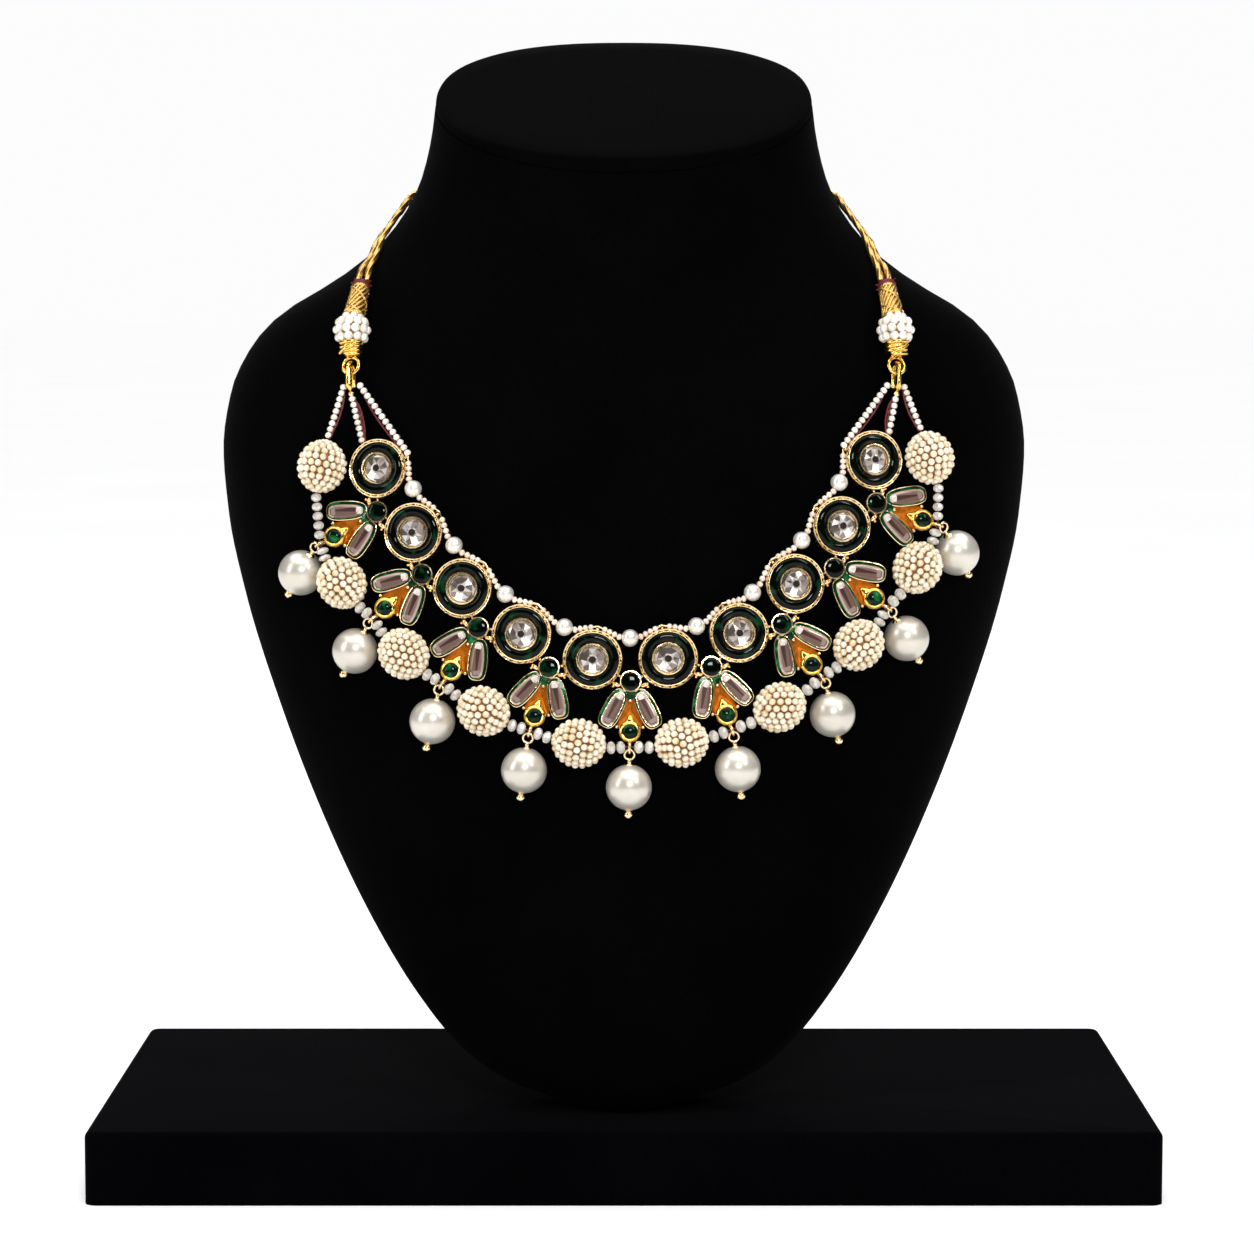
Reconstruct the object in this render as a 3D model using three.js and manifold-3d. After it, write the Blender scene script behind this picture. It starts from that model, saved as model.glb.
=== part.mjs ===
// Kundan necklace on a plain velvet neck bust. Millimetres, +Z up, the front faces -Y.
// The origin is the middle of the base's underside.

import * as THREE from 'three';
import { mergeVertices } from 'three/addons/utils/BufferGeometryUtils.js';
import Module from 'manifold-3d';

const wasm = await Module();
wasm.setup();

const V = (x, y, z) => new THREE.Vector3(x, y, z);
const radians = THREE.MathUtils.degToRad;

// Clearance between neighbouring pieces
const GAP = 0.35;

// Base and bust
const BASE_WIDTH = 263;
const BASE_DEPTH = 126;
const BASE_HEIGHT = 18;
const BASE_CORNER = 3;
const BASE_EDGE = 1.7;
const BUST_HEIGHT = 252.7;
const BUST_WIDTH = 206;
const BUST_DEPTH = 95.6;
const CAP_SLANT = 23.8;
const BUST_SIDES = 24;

// Medallions and the clear stones in their collets
const MEDALLION_COUNT = 10;
const MEDALLION_DIAMETER = 14.8;
const MEDALLION_HEIGHT = 3.1;
const MEDALLION_SPACE = 3.5;
const COLLET_DIAMETER = 7.8;
const COLLET_WALL = 0.55;
const MEDALLION_SIDES = 12;
const STONE_HEIGHT = 1.3;
const STONE_SIDES = 8;
const SEAT_HEIGHT = MEDALLION_HEIGHT - 0.6;
const PITCH = MEDALLION_DIAMETER + MEDALLION_SPACE;

// Leaf motifs between the medallions. LEAF_REACH and LEAF_BEARING, in degrees off straight down, give each long
// leaf's middle from the dark stone.
const LEAF_COUNT = MEDALLION_COUNT - 1;
const DARK_DIAMETER = 5.3;
const DARK_SIDES = 10;
const LEAF_LENGTH = 10.3;
const LEAF_WIDTH = 5.0;
const LEAF_SPREAD = 27;
const LEAF_REACH = 7.8;
const LEAF_BEARING = 32;
const LEAF_HEIGHT = 2.9;
const PLATE_THICKNESS = 1.5;
const CUP_DIAMETER = 5.8;
const CUP_REACH = 12;
const LEAF_TILT = 8;
const LOOP_RADIUS = 1.5;
const LOOP_WIRE = 0.35;
const LOOP_REACH = CUP_REACH + CUP_DIAMETER / 2 + LOOP_RADIUS;
const LOOP_LEVEL = LEAF_HEIGHT / 2 + 0.9;
const LOOP_SPACE = LOOP_WIRE + 5 * GAP;
const THREAD_IN_LOOP = { up: 0.3, out: 0.6 };

// Outline of the plate between the leaves, x and y from the dark stone
const PLATE_OUTLINE = [[-2.4, -1.0], [-1.4, -4.5], [-3.1, -11.1], [3.1, -11.1], [1.4, -4.5], [2.4, -1.0]];

// Pearl drops
const DROP_DIAMETER = 11.2;
const DROP_RING_RADIUS = 1.15;
const DROP_RING_WIRE = 0.3;
const DROP_REACH = 8;
const DROP_TIP_DIAMETER = 2.2;

// Woven balls and the string through them
const BALL_LENGTH = 13.4;
const BALL_DIAMETER = 12.2;
const BALL_BORE = 1.9;
const BALL_DROOP = 1.1;
const BALL_TUCK = 1.4;
const BALL_LIFT = BALL_DIAMETER / 2 + GAP;
const STRING_SIDES = 10;
const THREAD_RADIUS = 0.25;
const THREAD_STEP = 0.05;
const RONDELLE_DIAMETER = 2.7;
const RONDELLE_THICKNESS = 0.8 * RONDELLE_DIAMETER;
const SEED_STRAND_DIAMETER = 1.8;
const STRAND_SIDES = 8;

// Inner string of small pearls
const SMALL_PEARL_DIAMETER = 4.3;
const SMALL_PEARL_SPACE = 1.3;
const INNER_STRING_DIAMETER = 1.3;
const INNER_STRING_SPACE = 2.4 * GAP;

// End fittings and the cord round the neck
const SLEEVE_DIAMETER = 5.0;
const WHIPPING_LENGTH = 1.7;
const CLUSTER_DIAMETER = 9.4;
const COIL_DIAMETER = 5.6;
const COIL_REACH = 8;
const EYE_RADIUS = 2.1;
const EYE_WIRE = 0.5;
const HOOK_HALF_LENGTH = 3.4;
const HOOK_RADIUS = 1.6;
const HOOK_WIRE = 0.65;
const HOOK_THROUGH_EYE = 0.6;
const STRAND_UP_HOOK = 2.3;
const STRAND_BESIDE_HOOK = HOOK_WIRE + SEED_STRAND_DIAMETER / 2 + GAP;
const MIDDLE_STRAND_SPACE = 1.3 * GAP;
const CORD_DIAMETER = 1.7;
const CORD_SIDES = 8;

// Sections of the bust from its foot to the middle of its cap. up is a share of BUST_HEIGHT, wide of half
// BUST_WIDTH, and side, front and back are y as shares of BUST_DEPTH.
const BUST_SECTIONS = [
  { up: 0.000, wide: 0.087, side: -0.335, front: -0.439, back: -0.230 },
  { up: 0.009, wide: 0.180, side: -0.324, front: -0.460, back: -0.167 },
  { up: 0.027, wide: 0.306, side: -0.293, front: -0.481, back: -0.105 },
  { up: 0.054, wide: 0.403, side: -0.251, front: -0.494, back: -0.042 },
  { up: 0.098, wide: 0.500, side: -0.199, front: -0.504, back: 0.042 },
  { up: 0.165, wide: 0.608, side: -0.146, front: -0.513, back: 0.136 },
  { up: 0.264, wide: 0.731, side: -0.094, front: -0.519, back: 0.230 },
  { up: 0.383, wide: 0.849, side: -0.042, front: -0.515, back: 0.314 },
  { up: 0.501, wide: 0.943, side: 0.010, front: -0.495, back: 0.377 },
  { up: 0.581, wide: 0.986, side: 0.042, front: -0.473, back: 0.413 },
  { up: 0.648, wide: 1.000, side: 0.063, front: -0.442, back: 0.439 },
  { up: 0.703, wide: 0.981, side: 0.078, front: -0.406, back: 0.460 },
  { up: 0.747, wide: 0.932, side: 0.084, front: -0.373, back: 0.473 },
  { up: 0.782, wide: 0.854, side: 0.084, front: -0.346, back: 0.481 },
  { up: 0.806, wide: 0.757, side: 0.084, front: -0.328, back: 0.481 },
  { up: 0.834, wide: 0.655, side: 0.084, front: -0.314, back: 0.481 },
  { up: 0.869, wide: 0.570, side: 0.084, front: -0.309, back: 0.481 },
  { up: 0.917, wide: 0.505, side: 0.084, front: -0.309, back: 0.481 },
  { up: 0.964, wide: 0.477, side: 0.084, front: -0.309, back: 0.481 },
  { up: 1.000, wide: 0.466, side: 0.084, front: -0.309, back: 0.481 },
];
const FRONT_ROUNDNESS = 2.15;
const BACK_ROUNDNESS = 2.4;
const SLANT_START = 0.87;

// Route of the medallions' middles over the bust, chosen points from left to right. across is a share of half
// BUST_WIDTH and up a share of BUST_HEIGHT.
const MEDALLION_ROUTE = [
  { across: -0.612, up: 0.694 },
  { across: -0.576, up: 0.628 },
  { across: -0.496, up: 0.572 },
  { across: -0.380, up: 0.519 },
  { across: -0.239, up: 0.475 },
  { across: -0.075, up: 0.451 },
  { across: 0.106, up: 0.452 },
  { across: 0.270, up: 0.476 },
  { across: 0.405, up: 0.524 },
  { across: 0.515, up: 0.579 },
  { across: 0.586, up: 0.636 },
  { across: 0.622, up: 0.702 },
];

// Lean of each leaf motif and each drop from straight down, in degrees, from left to right
const LEANS = [
  { leaf: -58, drop: -30 },
  { leaf: -46, drop: -26 },
  { leaf: -31, drop: -12 },
  { leaf: -16, drop: -7 },
  { leaf: -1, drop: -1 },
  { leaf: 17, drop: 7 },
  { leaf: 35, drop: 13 },
  { leaf: 51, drop: 29 },
  { leaf: 68, drop: 29 },
];

// Places of the end fittings over the left shoulder: across and up as above, lift in mm off the bust.
// The right side is the same, mirrored.
const FITTINGS = {
  whipping: { across: -0.622, up: 0.806, lift: 3.2 },
  cluster: { across: -0.635, up: 0.762, lift: 5.2 },
  eye: { across: -0.643, up: 0.722, lift: 3.6 },
  hook: { across: -0.643, up: 0.699, lift: 2.9 },
};

// Routes of the two cords round the back of the neck, chosen points in mm above the bust's foot, for the left
// half up to the middle of the nape. The right half is the same, mirrored.
const CORD_ROUTES = {
  inner: [
    [-64.3, -18.0, 205.8], [-63.9, -13.5, 209.0], [-62.9, -8.1, 212.6], [-61.7, -1.9, 216.8],
    [-59.6, 2.8, 220.7], [-57.4, 8.5, 224.4], [-55.4, 14.6, 227.7], [-53.4, 21.9, 229.4],
    [-51.9, 25.8, 230.3], [-49.6, 29.3, 230.9], [-46.0, 33.9, 231.3], [-41.3, 37.8, 231.5],
    [-35.8, 41.2, 231.7], [-29.6, 43.8, 231.8], [-15.0, 46.9, 231.6], [0.0, 47.6, 231.5],
  ],
  outer: [
    [-66.4, -18.0, 205.8], [-65.9, -13.2, 208.7], [-64.5, -7.1, 211.7], [-63.1, -0.8, 215.7],
    [-60.6, 4.1, 219.5], [-58.3, 9.6, 223.0], [-56.2, 15.4, 226.0], [-54.0, 22.7, 227.6],
    [-52.4, 26.3, 228.4], [-50.0, 29.8, 228.9], [-46.3, 34.3, 229.3], [-41.6, 38.1, 229.5],
    [-35.9, 41.4, 229.7], [-29.7, 43.9, 229.8], [-15.0, 46.9, 229.5], [0.0, 47.6, 229.3],
  ],
};

const FOOT = BASE_HEIGHT + GAP;

// Solids from closed geometry, and back
function solidOf(geometry) {
  const bare = geometry.clone();
  bare.deleteAttribute('normal');
  bare.deleteAttribute('uv');
  const merged = mergeVertices(bare, 1e-4);
  return new wasm.Manifold(new wasm.Mesh({
    numProp: 3,
    vertProperties: new Float32Array(merged.attributes.position.array),
    triVerts: new Uint32Array(merged.index.array),
  }));
}

function geometryOf(solid) {
  const { vertProperties, triVerts } = solid.getMesh();
  const geometry = new THREE.BufferGeometry();
  geometry.setAttribute('position', new THREE.BufferAttribute(new Float32Array(vertProperties), 3));
  geometry.setIndex(new THREE.BufferAttribute(new Uint32Array(triVerts), 1));
  return geometry;
}

function fuse(geometries) {
  return geometryOf(geometries.map(solidOf).reduce((whole, piece) => whole.add(piece)));
}

// Closed body through rings of points, each ring counter-clockwise seen from the end that it runs to
function loft(rings) {
  const count = rings[0].length;
  const corners = [];
  const face = (a, b, c) => corners.push(a, b, c);
  for (let k = 0; k + 1 < rings.length; k += 1) {
    for (let i = 0; i < count; i += 1) {
      const j = (i + 1) % count;
      face(rings[k][i], rings[k][j], rings[k + 1][j]);
      face(rings[k][i], rings[k + 1][j], rings[k + 1][i]);
    }
  }
  const last = rings[rings.length - 1];
  for (let i = 1; i + 1 < count; i += 1) {
    face(rings[0][0], rings[0][i + 1], rings[0][i]);
    face(last[0], last[i], last[i + 1]);
  }
  return new THREE.BufferGeometry().setFromPoints(corners);
}

// Body turned about Z from [radius, height] points that start and end on the axis, from the bottom up
function turned(profile, sides) {
  const points = profile.map(([radius, height]) => new THREE.Vector2(radius, height));
  return new THREE.LatheGeometry(points, sides).rotateX(Math.PI / 2);
}

// Path that steps from one station to the next, so that a tube has a section at each of them
class Stations extends THREE.Curve {
  constructor(points) {
    super();
    this.points = points;
  }

  getPoint(t) {
    const place = t * (this.points.length - 1);
    const k = Math.min(Math.floor(place), this.points.length - 2);
    return this.points[k].clone().lerp(this.points[k + 1], place - k);
  }

  getPointAt(u) {
    return this.getPoint(u);
  }

  getTangentAt(u) {
    const last = this.points.length - 1;
    const k = Math.round(u * last);
    const before = this.points[Math.max(k - 1, 0)];
    const after = this.points[Math.min(k + 1, last)];
    return after.clone().sub(before).normalize();
  }
}

function tube(points, radius, sides) {
  const section = new THREE.Shape();
  for (let i = 0; i < sides; i += 1) {
    const turn = (i / sides) * 2 * Math.PI;
    section[i ? 'lineTo' : 'moveTo'](radius * Math.cos(turn), radius * Math.sin(turn));
  }
  return new THREE.ExtrudeGeometry(section, {
    steps: points.length - 1,
    bevelEnabled: false,
    extrudePath: new Stations(points),
  });
}

// Smooth value of one column of BUST_SECTIONS at a share of the height, without overshoot
function sectionValue(column, up) {
  const rows = BUST_SECTIONS;
  const last = rows.length - 1;
  const span = (k) => rows[k + 1].up - rows[k].up;
  const slope = (k) => (rows[k + 1][column] - rows[k][column]) / span(k);
  const tangent = (k) => {
    if (k === 0) return slope(0);
    if (k === last) return slope(last - 1);
    const before = slope(k - 1);
    const after = slope(k);
    if (before * after <= 0) return 0;
    const near = 2 * span(k) + span(k - 1);
    const far = span(k) + 2 * span(k - 1);
    return (near + far) / (near / before + far / after);
  };
  const level = THREE.MathUtils.clamp(up, 0, 1);
  let k = 0;
  while (k < last - 1 && rows[k + 1].up < level) k += 1;
  const t = (level - rows[k].up) / span(k);
  const s = 1 - t;
  return (1 + 2 * t) * s * s * rows[k][column] + t * s * s * span(k) * tangent(k)
    + t * t * (3 - 2 * t) * rows[k + 1][column] - t * t * s * span(k) * tangent(k + 1);
}

// Place on the bust's front, given x and z
function onBust(x, z) {
  const up = (z - FOOT) / BUST_HEIGHT;
  const half = sectionValue('wide', up) * BUST_WIDTH / 2;
  const side = sectionValue('side', up) * BUST_DEPTH;
  const front = sectionValue('front', up) * BUST_DEPTH;
  const share = Math.min(Math.abs(x) / half, 1);
  const y = side + (front - side) * (1 - share ** FRONT_ROUNDNESS) ** (1 / FRONT_ROUNDNESS);
  return V(x, y, z);
}

function bustNormal(x, z) {
  const step = 0.2;
  const alongX = onBust(x + step, z).sub(onBust(x - step, z));
  const alongZ = onBust(x, z + step).sub(onBust(x, z - step));
  return alongX.cross(alongZ).normalize();
}

// Place at a lift off the bust, and the place given by shares of its size
const lifted = (x, z, lift) => onBust(x, z).addScaledVector(bustNormal(x, z), lift);
const spot = ({ across, up }) => ({ x: across * BUST_WIDTH / 2, z: FOOT + up * BUST_HEIGHT });

// Direction in the bust's surface that leans by an angle from straight down
function downBust(x, z, lean) {
  const normal = bustNormal(x, z);
  const along = V(Math.sin(radians(lean)), 0, -Math.cos(radians(lean)));
  along.y = -(normal.x * along.x + normal.z * along.z) / normal.y;
  return along.normalize();
}

// Frame whose Z is the way out and whose Y is as near as it can be to the way up
function frameOf(origin, out, upward) {
  const z = out.clone().normalize();
  const x = upward.clone().cross(z).normalize();
  return new THREE.Matrix4().makeBasis(x, z.clone().cross(x), z).setPosition(origin);
}

// Frame whose Z runs along a line
const frameAlong = (origin, along) => frameOf(origin, along, V(0, -1, 0.2));

// Frame whose Y is the way up along a hanging piece and whose Z faces away from the bust
function hanging(origin, down, out) {
  const y = down.clone().negate().normalize();
  const x = y.clone().cross(out).normalize();
  return new THREE.Matrix4().makeBasis(x, y, x.clone().cross(y)).setPosition(origin);
}

// The medallions' route as a curve on the bust, and a place along it by its length from the middle
const routeCurve = new THREE.CatmullRomCurve3(
  MEDALLION_ROUTE.map((row) => onBust(spot(row).x, spot(row).z)),
  false,
  'centripetal',
);
const ROUTE_STEPS = 400;
const routeLengths = routeCurve.getLengths(ROUTE_STEPS);
const routeLength = routeLengths[ROUTE_STEPS];

// along runs to the right, inward up towards the neck
function routePlace(along, inward = 0) {
  const share = (routeLengths[ROUTE_STEPS / 2] + along) / routeLength;
  const middle = routeCurve.getPointAt(THREE.MathUtils.clamp(share, 0, 1));
  const tangent = routeCurve.getTangentAt(THREE.MathUtils.clamp(share, 0, 1));
  const over = Math.max(share - 1, 0) + Math.min(share, 0);
  middle.addScaledVector(tangent, over * routeLength);
  const normal = bustNormal(middle.x, middle.z);
  middle.addScaledVector(normal.clone().cross(tangent).normalize(), inward);
  return { x: middle.x, z: middle.z, tangent, normal: bustNormal(middle.x, middle.z) };
}

// The bust, its ring levels and its slanted cap
function bustRing(up, shrink = 0) {
  const half = sectionValue('wide', up) * BUST_WIDTH / 2 - shrink;
  const side = sectionValue('side', up) * BUST_DEPTH;
  const front = sectionValue('front', up) * BUST_DEPTH + shrink;
  const back = sectionValue('back', up) * BUST_DEPTH - shrink;
  const lean = Math.max(up - SLANT_START, 0) / (1 - SLANT_START) * Math.tan(radians(CAP_SLANT));
  return Array.from({ length: BUST_SIDES }, (_, i) => {
    const turn = (i / BUST_SIDES) * 2 * Math.PI;
    const cosine = Math.cos(turn);
    const sine = Math.sin(turn);
    const power = 2 / (sine < 0 ? FRONT_ROUNDNESS : BACK_ROUNDNESS);
    const x = half * Math.sign(cosine) * Math.abs(cosine) ** power;
    const y = side + (sine < 0 ? side - front : back - side) * Math.sign(sine) * Math.abs(sine) ** power;
    return V(x, y, FOOT + up * BUST_HEIGHT + lean * (y - side));
  });
}

function bust() {
  const CAP_EDGE = 1.2;
  const rings = BUST_SECTIONS.map(({ up }) => bustRing(up));
  const below = bustRing(1 - CAP_EDGE / BUST_HEIGHT);
  rings.splice(rings.length - 1, 1, below, bustRing(1, CAP_EDGE));
  return loft(rings);
}

function base() {
  const ring = (z, inset) => {
    const radius = BASE_CORNER - inset;
    const steps = 3;
    const points = [];
    for (const [cornerX, cornerY, start] of [[1, -1, -90], [1, 1, 0], [-1, 1, 90], [-1, -1, 180]]) {
      for (let i = 0; i <= steps; i += 1) {
        const turn = radians(start + (90 * i) / steps);
        points.push(V(
          cornerX * (BASE_WIDTH / 2 - BASE_CORNER) + radius * Math.cos(turn),
          cornerY * (BASE_DEPTH / 2 - BASE_CORNER) + radius * Math.sin(turn),
          z,
        ));
      }
    }
    return points;
  };
  return loft([ring(0, 0), ring(BASE_HEIGHT - BASE_EDGE, 0), ring(BASE_HEIGHT, BASE_EDGE)]);
}

// Medallion: dished gold disc with a raised rim, an enamel channel and a collet round the stone's seat
function medallionSetting() {
  const outer = MEDALLION_DIAMETER / 2;
  const collet = COLLET_DIAMETER / 2;
  const seat = collet - COLLET_WALL;
  return turned([
    [0, 0],
    [outer, 0],
    [outer, MEDALLION_HEIGHT - 0.5],
    [outer - 0.5, MEDALLION_HEIGHT],
    [outer - 1.2, MEDALLION_HEIGHT - 0.8],
    [collet, MEDALLION_HEIGHT - 0.7],
    [collet - 0.1, MEDALLION_HEIGHT + 0.2],
    [seat, SEAT_HEIGHT],
    [0, SEAT_HEIGHT],
  ], MEDALLION_SIDES);
}

// Round stone with a table and eight facets, standing in its collet
function medallionStone() {
  const girdle = COLLET_DIAMETER / 2 - COLLET_WALL - GAP;
  return turned([
    [0, 0],
    [girdle, 0],
    [girdle, 0.4],
    [girdle * 0.55, STONE_HEIGHT],
    [0, STONE_HEIGHT],
  ], STONE_SIDES);
}

// Outline of one long leaf at a height, in the leaf motif's frame
function leafOutline(length, width, height, side) {
  const endSteps = 3;
  const radius = width / 2;
  const half = length / 2 - radius;
  const spread = radians(LEAF_SPREAD) * side;
  const points = [];
  for (const [end, start] of [[1, 0], [-1, 180]]) {
    for (let i = 0; i <= endSteps; i += 1) {
      const turn = radians(start + (180 * i) / endSteps);
      points.push(V(radius * Math.cos(turn), end * half + radius * Math.sin(turn), height));
    }
  }
  const bearing = radians(LEAF_BEARING);
  const middle = V(side * LEAF_REACH * Math.sin(bearing), -LEAF_REACH * Math.cos(bearing), 0);
  return points.map((point) => point.applyAxisAngle(V(0, 0, 1), spread).add(middle));
}

// Leaf motif, in its own frame: the dark stone is at the origin, the loop down -Y and the back at Z = 0
function leafMotif() {
  const dark = turned([
    [0, 0],
    [DARK_DIAMETER / 2, 0],
    [DARK_DIAMETER / 2, LEAF_HEIGHT - 0.7],
    [0, LEAF_HEIGHT],
  ], DARK_SIDES);
  const leaves = [-1, 1].map((side) => loft([
    leafOutline(LEAF_LENGTH, LEAF_WIDTH, 0, side),
    leafOutline(LEAF_LENGTH, LEAF_WIDTH, LEAF_HEIGHT - 0.9, side),
    leafOutline(LEAF_LENGTH * 0.66, LEAF_WIDTH * 0.36, LEAF_HEIGHT, side),
  ]));
  const plateShape = new THREE.Shape(PLATE_OUTLINE.map(([x, y]) => new THREE.Vector2(x, y)));
  const plate = new THREE.ExtrudeGeometry(plateShape, { depth: PLATE_THICKNESS, bevelEnabled: false });
  const cup = turned([
    [0, 0],
    [CUP_DIAMETER / 2, 0],
    [CUP_DIAMETER / 2, LEAF_HEIGHT],
    [0, LEAF_HEIGHT + 0.5],
  ], DARK_SIDES).translate(0, -CUP_REACH, 0);
  const loop = new THREE.TorusGeometry(LOOP_RADIUS, LOOP_WIRE, 5, 10)
    .rotateY(Math.PI / 2)
    .translate(0, -LOOP_REACH, LOOP_LEVEL);
  return fuse([dark, ...leaves, plate, cup, loop]);
}

// Pearl drop, in its own frame: its ring's middle is the origin and the pearl hangs down -Y
function pearlDrop() {
  const ring = new THREE.TorusGeometry(DROP_RING_RADIUS, DROP_RING_WIRE, 5, 10);
  const pearl = DROP_DIAMETER / 2;
  const tip = DROP_TIP_DIAMETER / 2;
  const latitude = (degrees) => [pearl * Math.cos(radians(degrees)), pearl * Math.sin(radians(degrees)) - DROP_REACH];
  const lowest = -DROP_REACH - pearl - 1.4 * tip;
  const body = turned([
    [0, lowest],
    [tip, lowest + tip * 0.8],
    ...[-70, -36, 0, 36, 70].map(latitude),
    [0.5, -DROP_RING_RADIUS - 0.4],
    [0, -DROP_RING_RADIUS - 0.2],
  ], DARK_SIDES).rotateX(-Math.PI / 2);
  return fuse([body, ring]);
}

// Woven ball, drilled along Z
function wovenBall() {
  const bands = 5;
  const bore = BALL_BORE / 2;
  const profile = Array.from({ length: bands + 1 }, (_, k) => {
    const turn = (k / bands - 0.5) * Math.PI;
    return new THREE.Vector2(
      Math.max(BALL_DIAMETER / 2 * Math.cos(turn), bore),
      BALL_LENGTH / 2 * Math.sin(turn),
    );
  });
  profile.push(profile[0].clone());
  return new THREE.LatheGeometry(profile, 12).rotateX(Math.PI / 2);
}

// Place of a fitting over one shoulder: side is -1 on the left and 1 on the right
function fitting(row, side) {
  const { x, z } = spot(row);
  return lifted(side * -x, z, row.lift);
}

// Whipping, sleeve, bead cluster, coil and eye at one end of the cords, as one piece
function doriEnd(side) {
  const cluster = fitting(FITTINGS.cluster, side);
  const whipping = fitting(FITTINGS.whipping, side);
  const eye = fitting(FITTINGS.eye, side);
  const length = cluster.distanceTo(whipping) - 2 * GAP;
  const sleeve = turned([
    [0, 0],
    [SLEEVE_DIAMETER / 2 + 0.1, 0],
    [SLEEVE_DIAMETER / 2 - 0.4, length - WHIPPING_LENGTH],
    [SLEEVE_DIAMETER / 2 - 0.2, length - WHIPPING_LENGTH],
    [SLEEVE_DIAMETER / 2, length],
    [0, length],
  ], 10).applyMatrix4(frameAlong(cluster, whipping.clone().sub(cluster)));
  const beads = new THREE.SphereGeometry(CLUSTER_DIAMETER / 2, 10, 6).translate(...cluster);
  const down = eye.clone().sub(cluster).normalize();
  const coil = turned([
    [0, 0],
    [COIL_DIAMETER / 2, 0],
    [COIL_DIAMETER / 2, COIL_REACH - 0.6],
    [COIL_DIAMETER / 2 - 0.6, COIL_REACH],
    [0, COIL_REACH],
  ], 10).applyMatrix4(frameAlong(cluster, down));
  const { middle, out } = eyePlace(side);
  const ring = new THREE.TorusGeometry(EYE_RADIUS, EYE_WIRE, 5, 10).applyMatrix4(frameOf(middle, out, down));
  return fuse([sleeve, beads, coil, ring]);
}

// Middle of the eye below the coil, and the way out through it
function eyePlace(side) {
  const cluster = fitting(FITTINGS.cluster, side);
  const down = fitting(FITTINGS.eye, side).sub(cluster).normalize();
  const middle = cluster.addScaledVector(down, COIL_REACH + EYE_RADIUS - EYE_WIRE / 2);
  return { middle, out: bustNormal(middle.x, middle.z) };
}

// Middle of the hook, the way down along it and the way out from the bust
function hookPlace(side) {
  const { middle } = eyePlace(side);
  const along = fitting(FITTINGS.hook, side).sub(middle).normalize();
  const normal = bustNormal(middle.x, middle.z);
  const out = normal.addScaledVector(along, -normal.dot(along)).normalize();
  const centre = middle.addScaledVector(along, HOOK_HALF_LENGTH - HOOK_THROUGH_EYE);
  return { centre, along, out };
}

// Long closed link that hangs from the eye and carries the three strands
function hook(side) {
  const { centre, along, out } = hookPlace(side);
  const straight = HOOK_HALF_LENGTH - HOOK_RADIUS;
  const arcSteps = 6;
  const points = [];
  for (const [end, start] of [[1, -90], [-1, 90]]) {
    for (let i = 0; i <= arcSteps; i += 1) {
      const turn = radians(start + (180 * i) / arcSteps);
      points.push(centre.clone()
        .addScaledVector(along, end * straight + HOOK_RADIUS * Math.cos(turn))
        .addScaledVector(out, HOOK_RADIUS * Math.sin(turn)));
    }
  }
  const sideway = along.clone().cross(out);
  const rings = points.map((point, k) => {
    const before = points[(k + points.length - 1) % points.length];
    const after = points[(k + 1) % points.length];
    const across = after.clone().sub(before).normalize().cross(sideway);
    return Array.from({ length: 6 }, (_, i) => {
      const turn = (i / 6) * 2 * Math.PI;
      return point.clone()
        .addScaledVector(across, HOOK_WIRE * Math.cos(turn))
        .addScaledVector(sideway, HOOK_WIRE * Math.sin(turn));
    });
  });
  const corners = [];
  rings.forEach((ring, k) => {
    const next = rings[(k + 1) % rings.length];
    ring.forEach((corner, i) => {
      const j = (i + 1) % ring.length;
      corners.push(corner, next[j], ring[j], corner, next[i], next[j]);
    });
  });
  return new THREE.BufferGeometry().setFromPoints(corners);
}

// Hook's lower end, and the way across it towards the neck
function hookEnd(side) {
  const { centre, along, out } = hookPlace(side);
  const end = centre.clone().addScaledVector(along, HOOK_HALF_LENGTH + HOOK_WIRE);
  return { end, along, inward: along.clone().cross(out).multiplyScalar(side) };
}

// Cord round the back of the neck, from one whipping to the other
function doriCord(route) {
  const half = route.map(([x, y, z]) => V(x, y, FOOT + z));
  const other = half.slice(0, -1).reverse().map(({ x, y, z }) => V(-x, y, z));
  return tube([...half, ...other], CORD_DIAMETER / 2, CORD_SIDES);
}

// Where each leaf motif, its loop and its drop are
const DARK_OUT = Math.sqrt(Math.max(
  ((MEDALLION_DIAMETER + DARK_DIAMETER) / 2 + GAP) ** 2 - (PITCH / 2) ** 2,
  0,
));

const motifs = LEANS.map(({ leaf, drop }, i) => {
  const { x, z } = routePlace((i - (LEAF_COUNT - 1) / 2) * PITCH, -DARK_OUT);
  const normal = bustNormal(x, z);
  const tilt = radians(LEAF_TILT);
  const along = downBust(x, z, leaf);
  const down = along.clone().multiplyScalar(Math.cos(tilt)).addScaledVector(normal, Math.sin(tilt));
  const origin = lifted(x, z, GAP + (DARK_DIAMETER / 2) * Math.sin(tilt) + 0.1);
  const frame = hanging(origin, down, normal);
  const at = (up, out) => V(0, up - LOOP_REACH, LOOP_LEVEL + out).applyMatrix4(frame);
  const ring = at(-LOOP_RADIUS, 0);
  const below = ring.clone().addScaledVector(downBust(ring.x, ring.z, drop), DROP_REACH);
  const foot = below.clone().addScaledVector(bustNormal(below.x, below.z), -DROP_DIAMETER / 2);
  const pearl = lifted(foot.x, foot.z, DROP_DIAMETER / 2 + GAP);
  const fall = pearl.sub(ring).normalize();
  const dropFrame = hanging(ring, fall, bustNormal(foot.x, foot.z));
  return { frame, down, thread: at(THREAD_IN_LOOP.up, THREAD_IN_LOOP.out), dropFrame };
});

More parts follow.
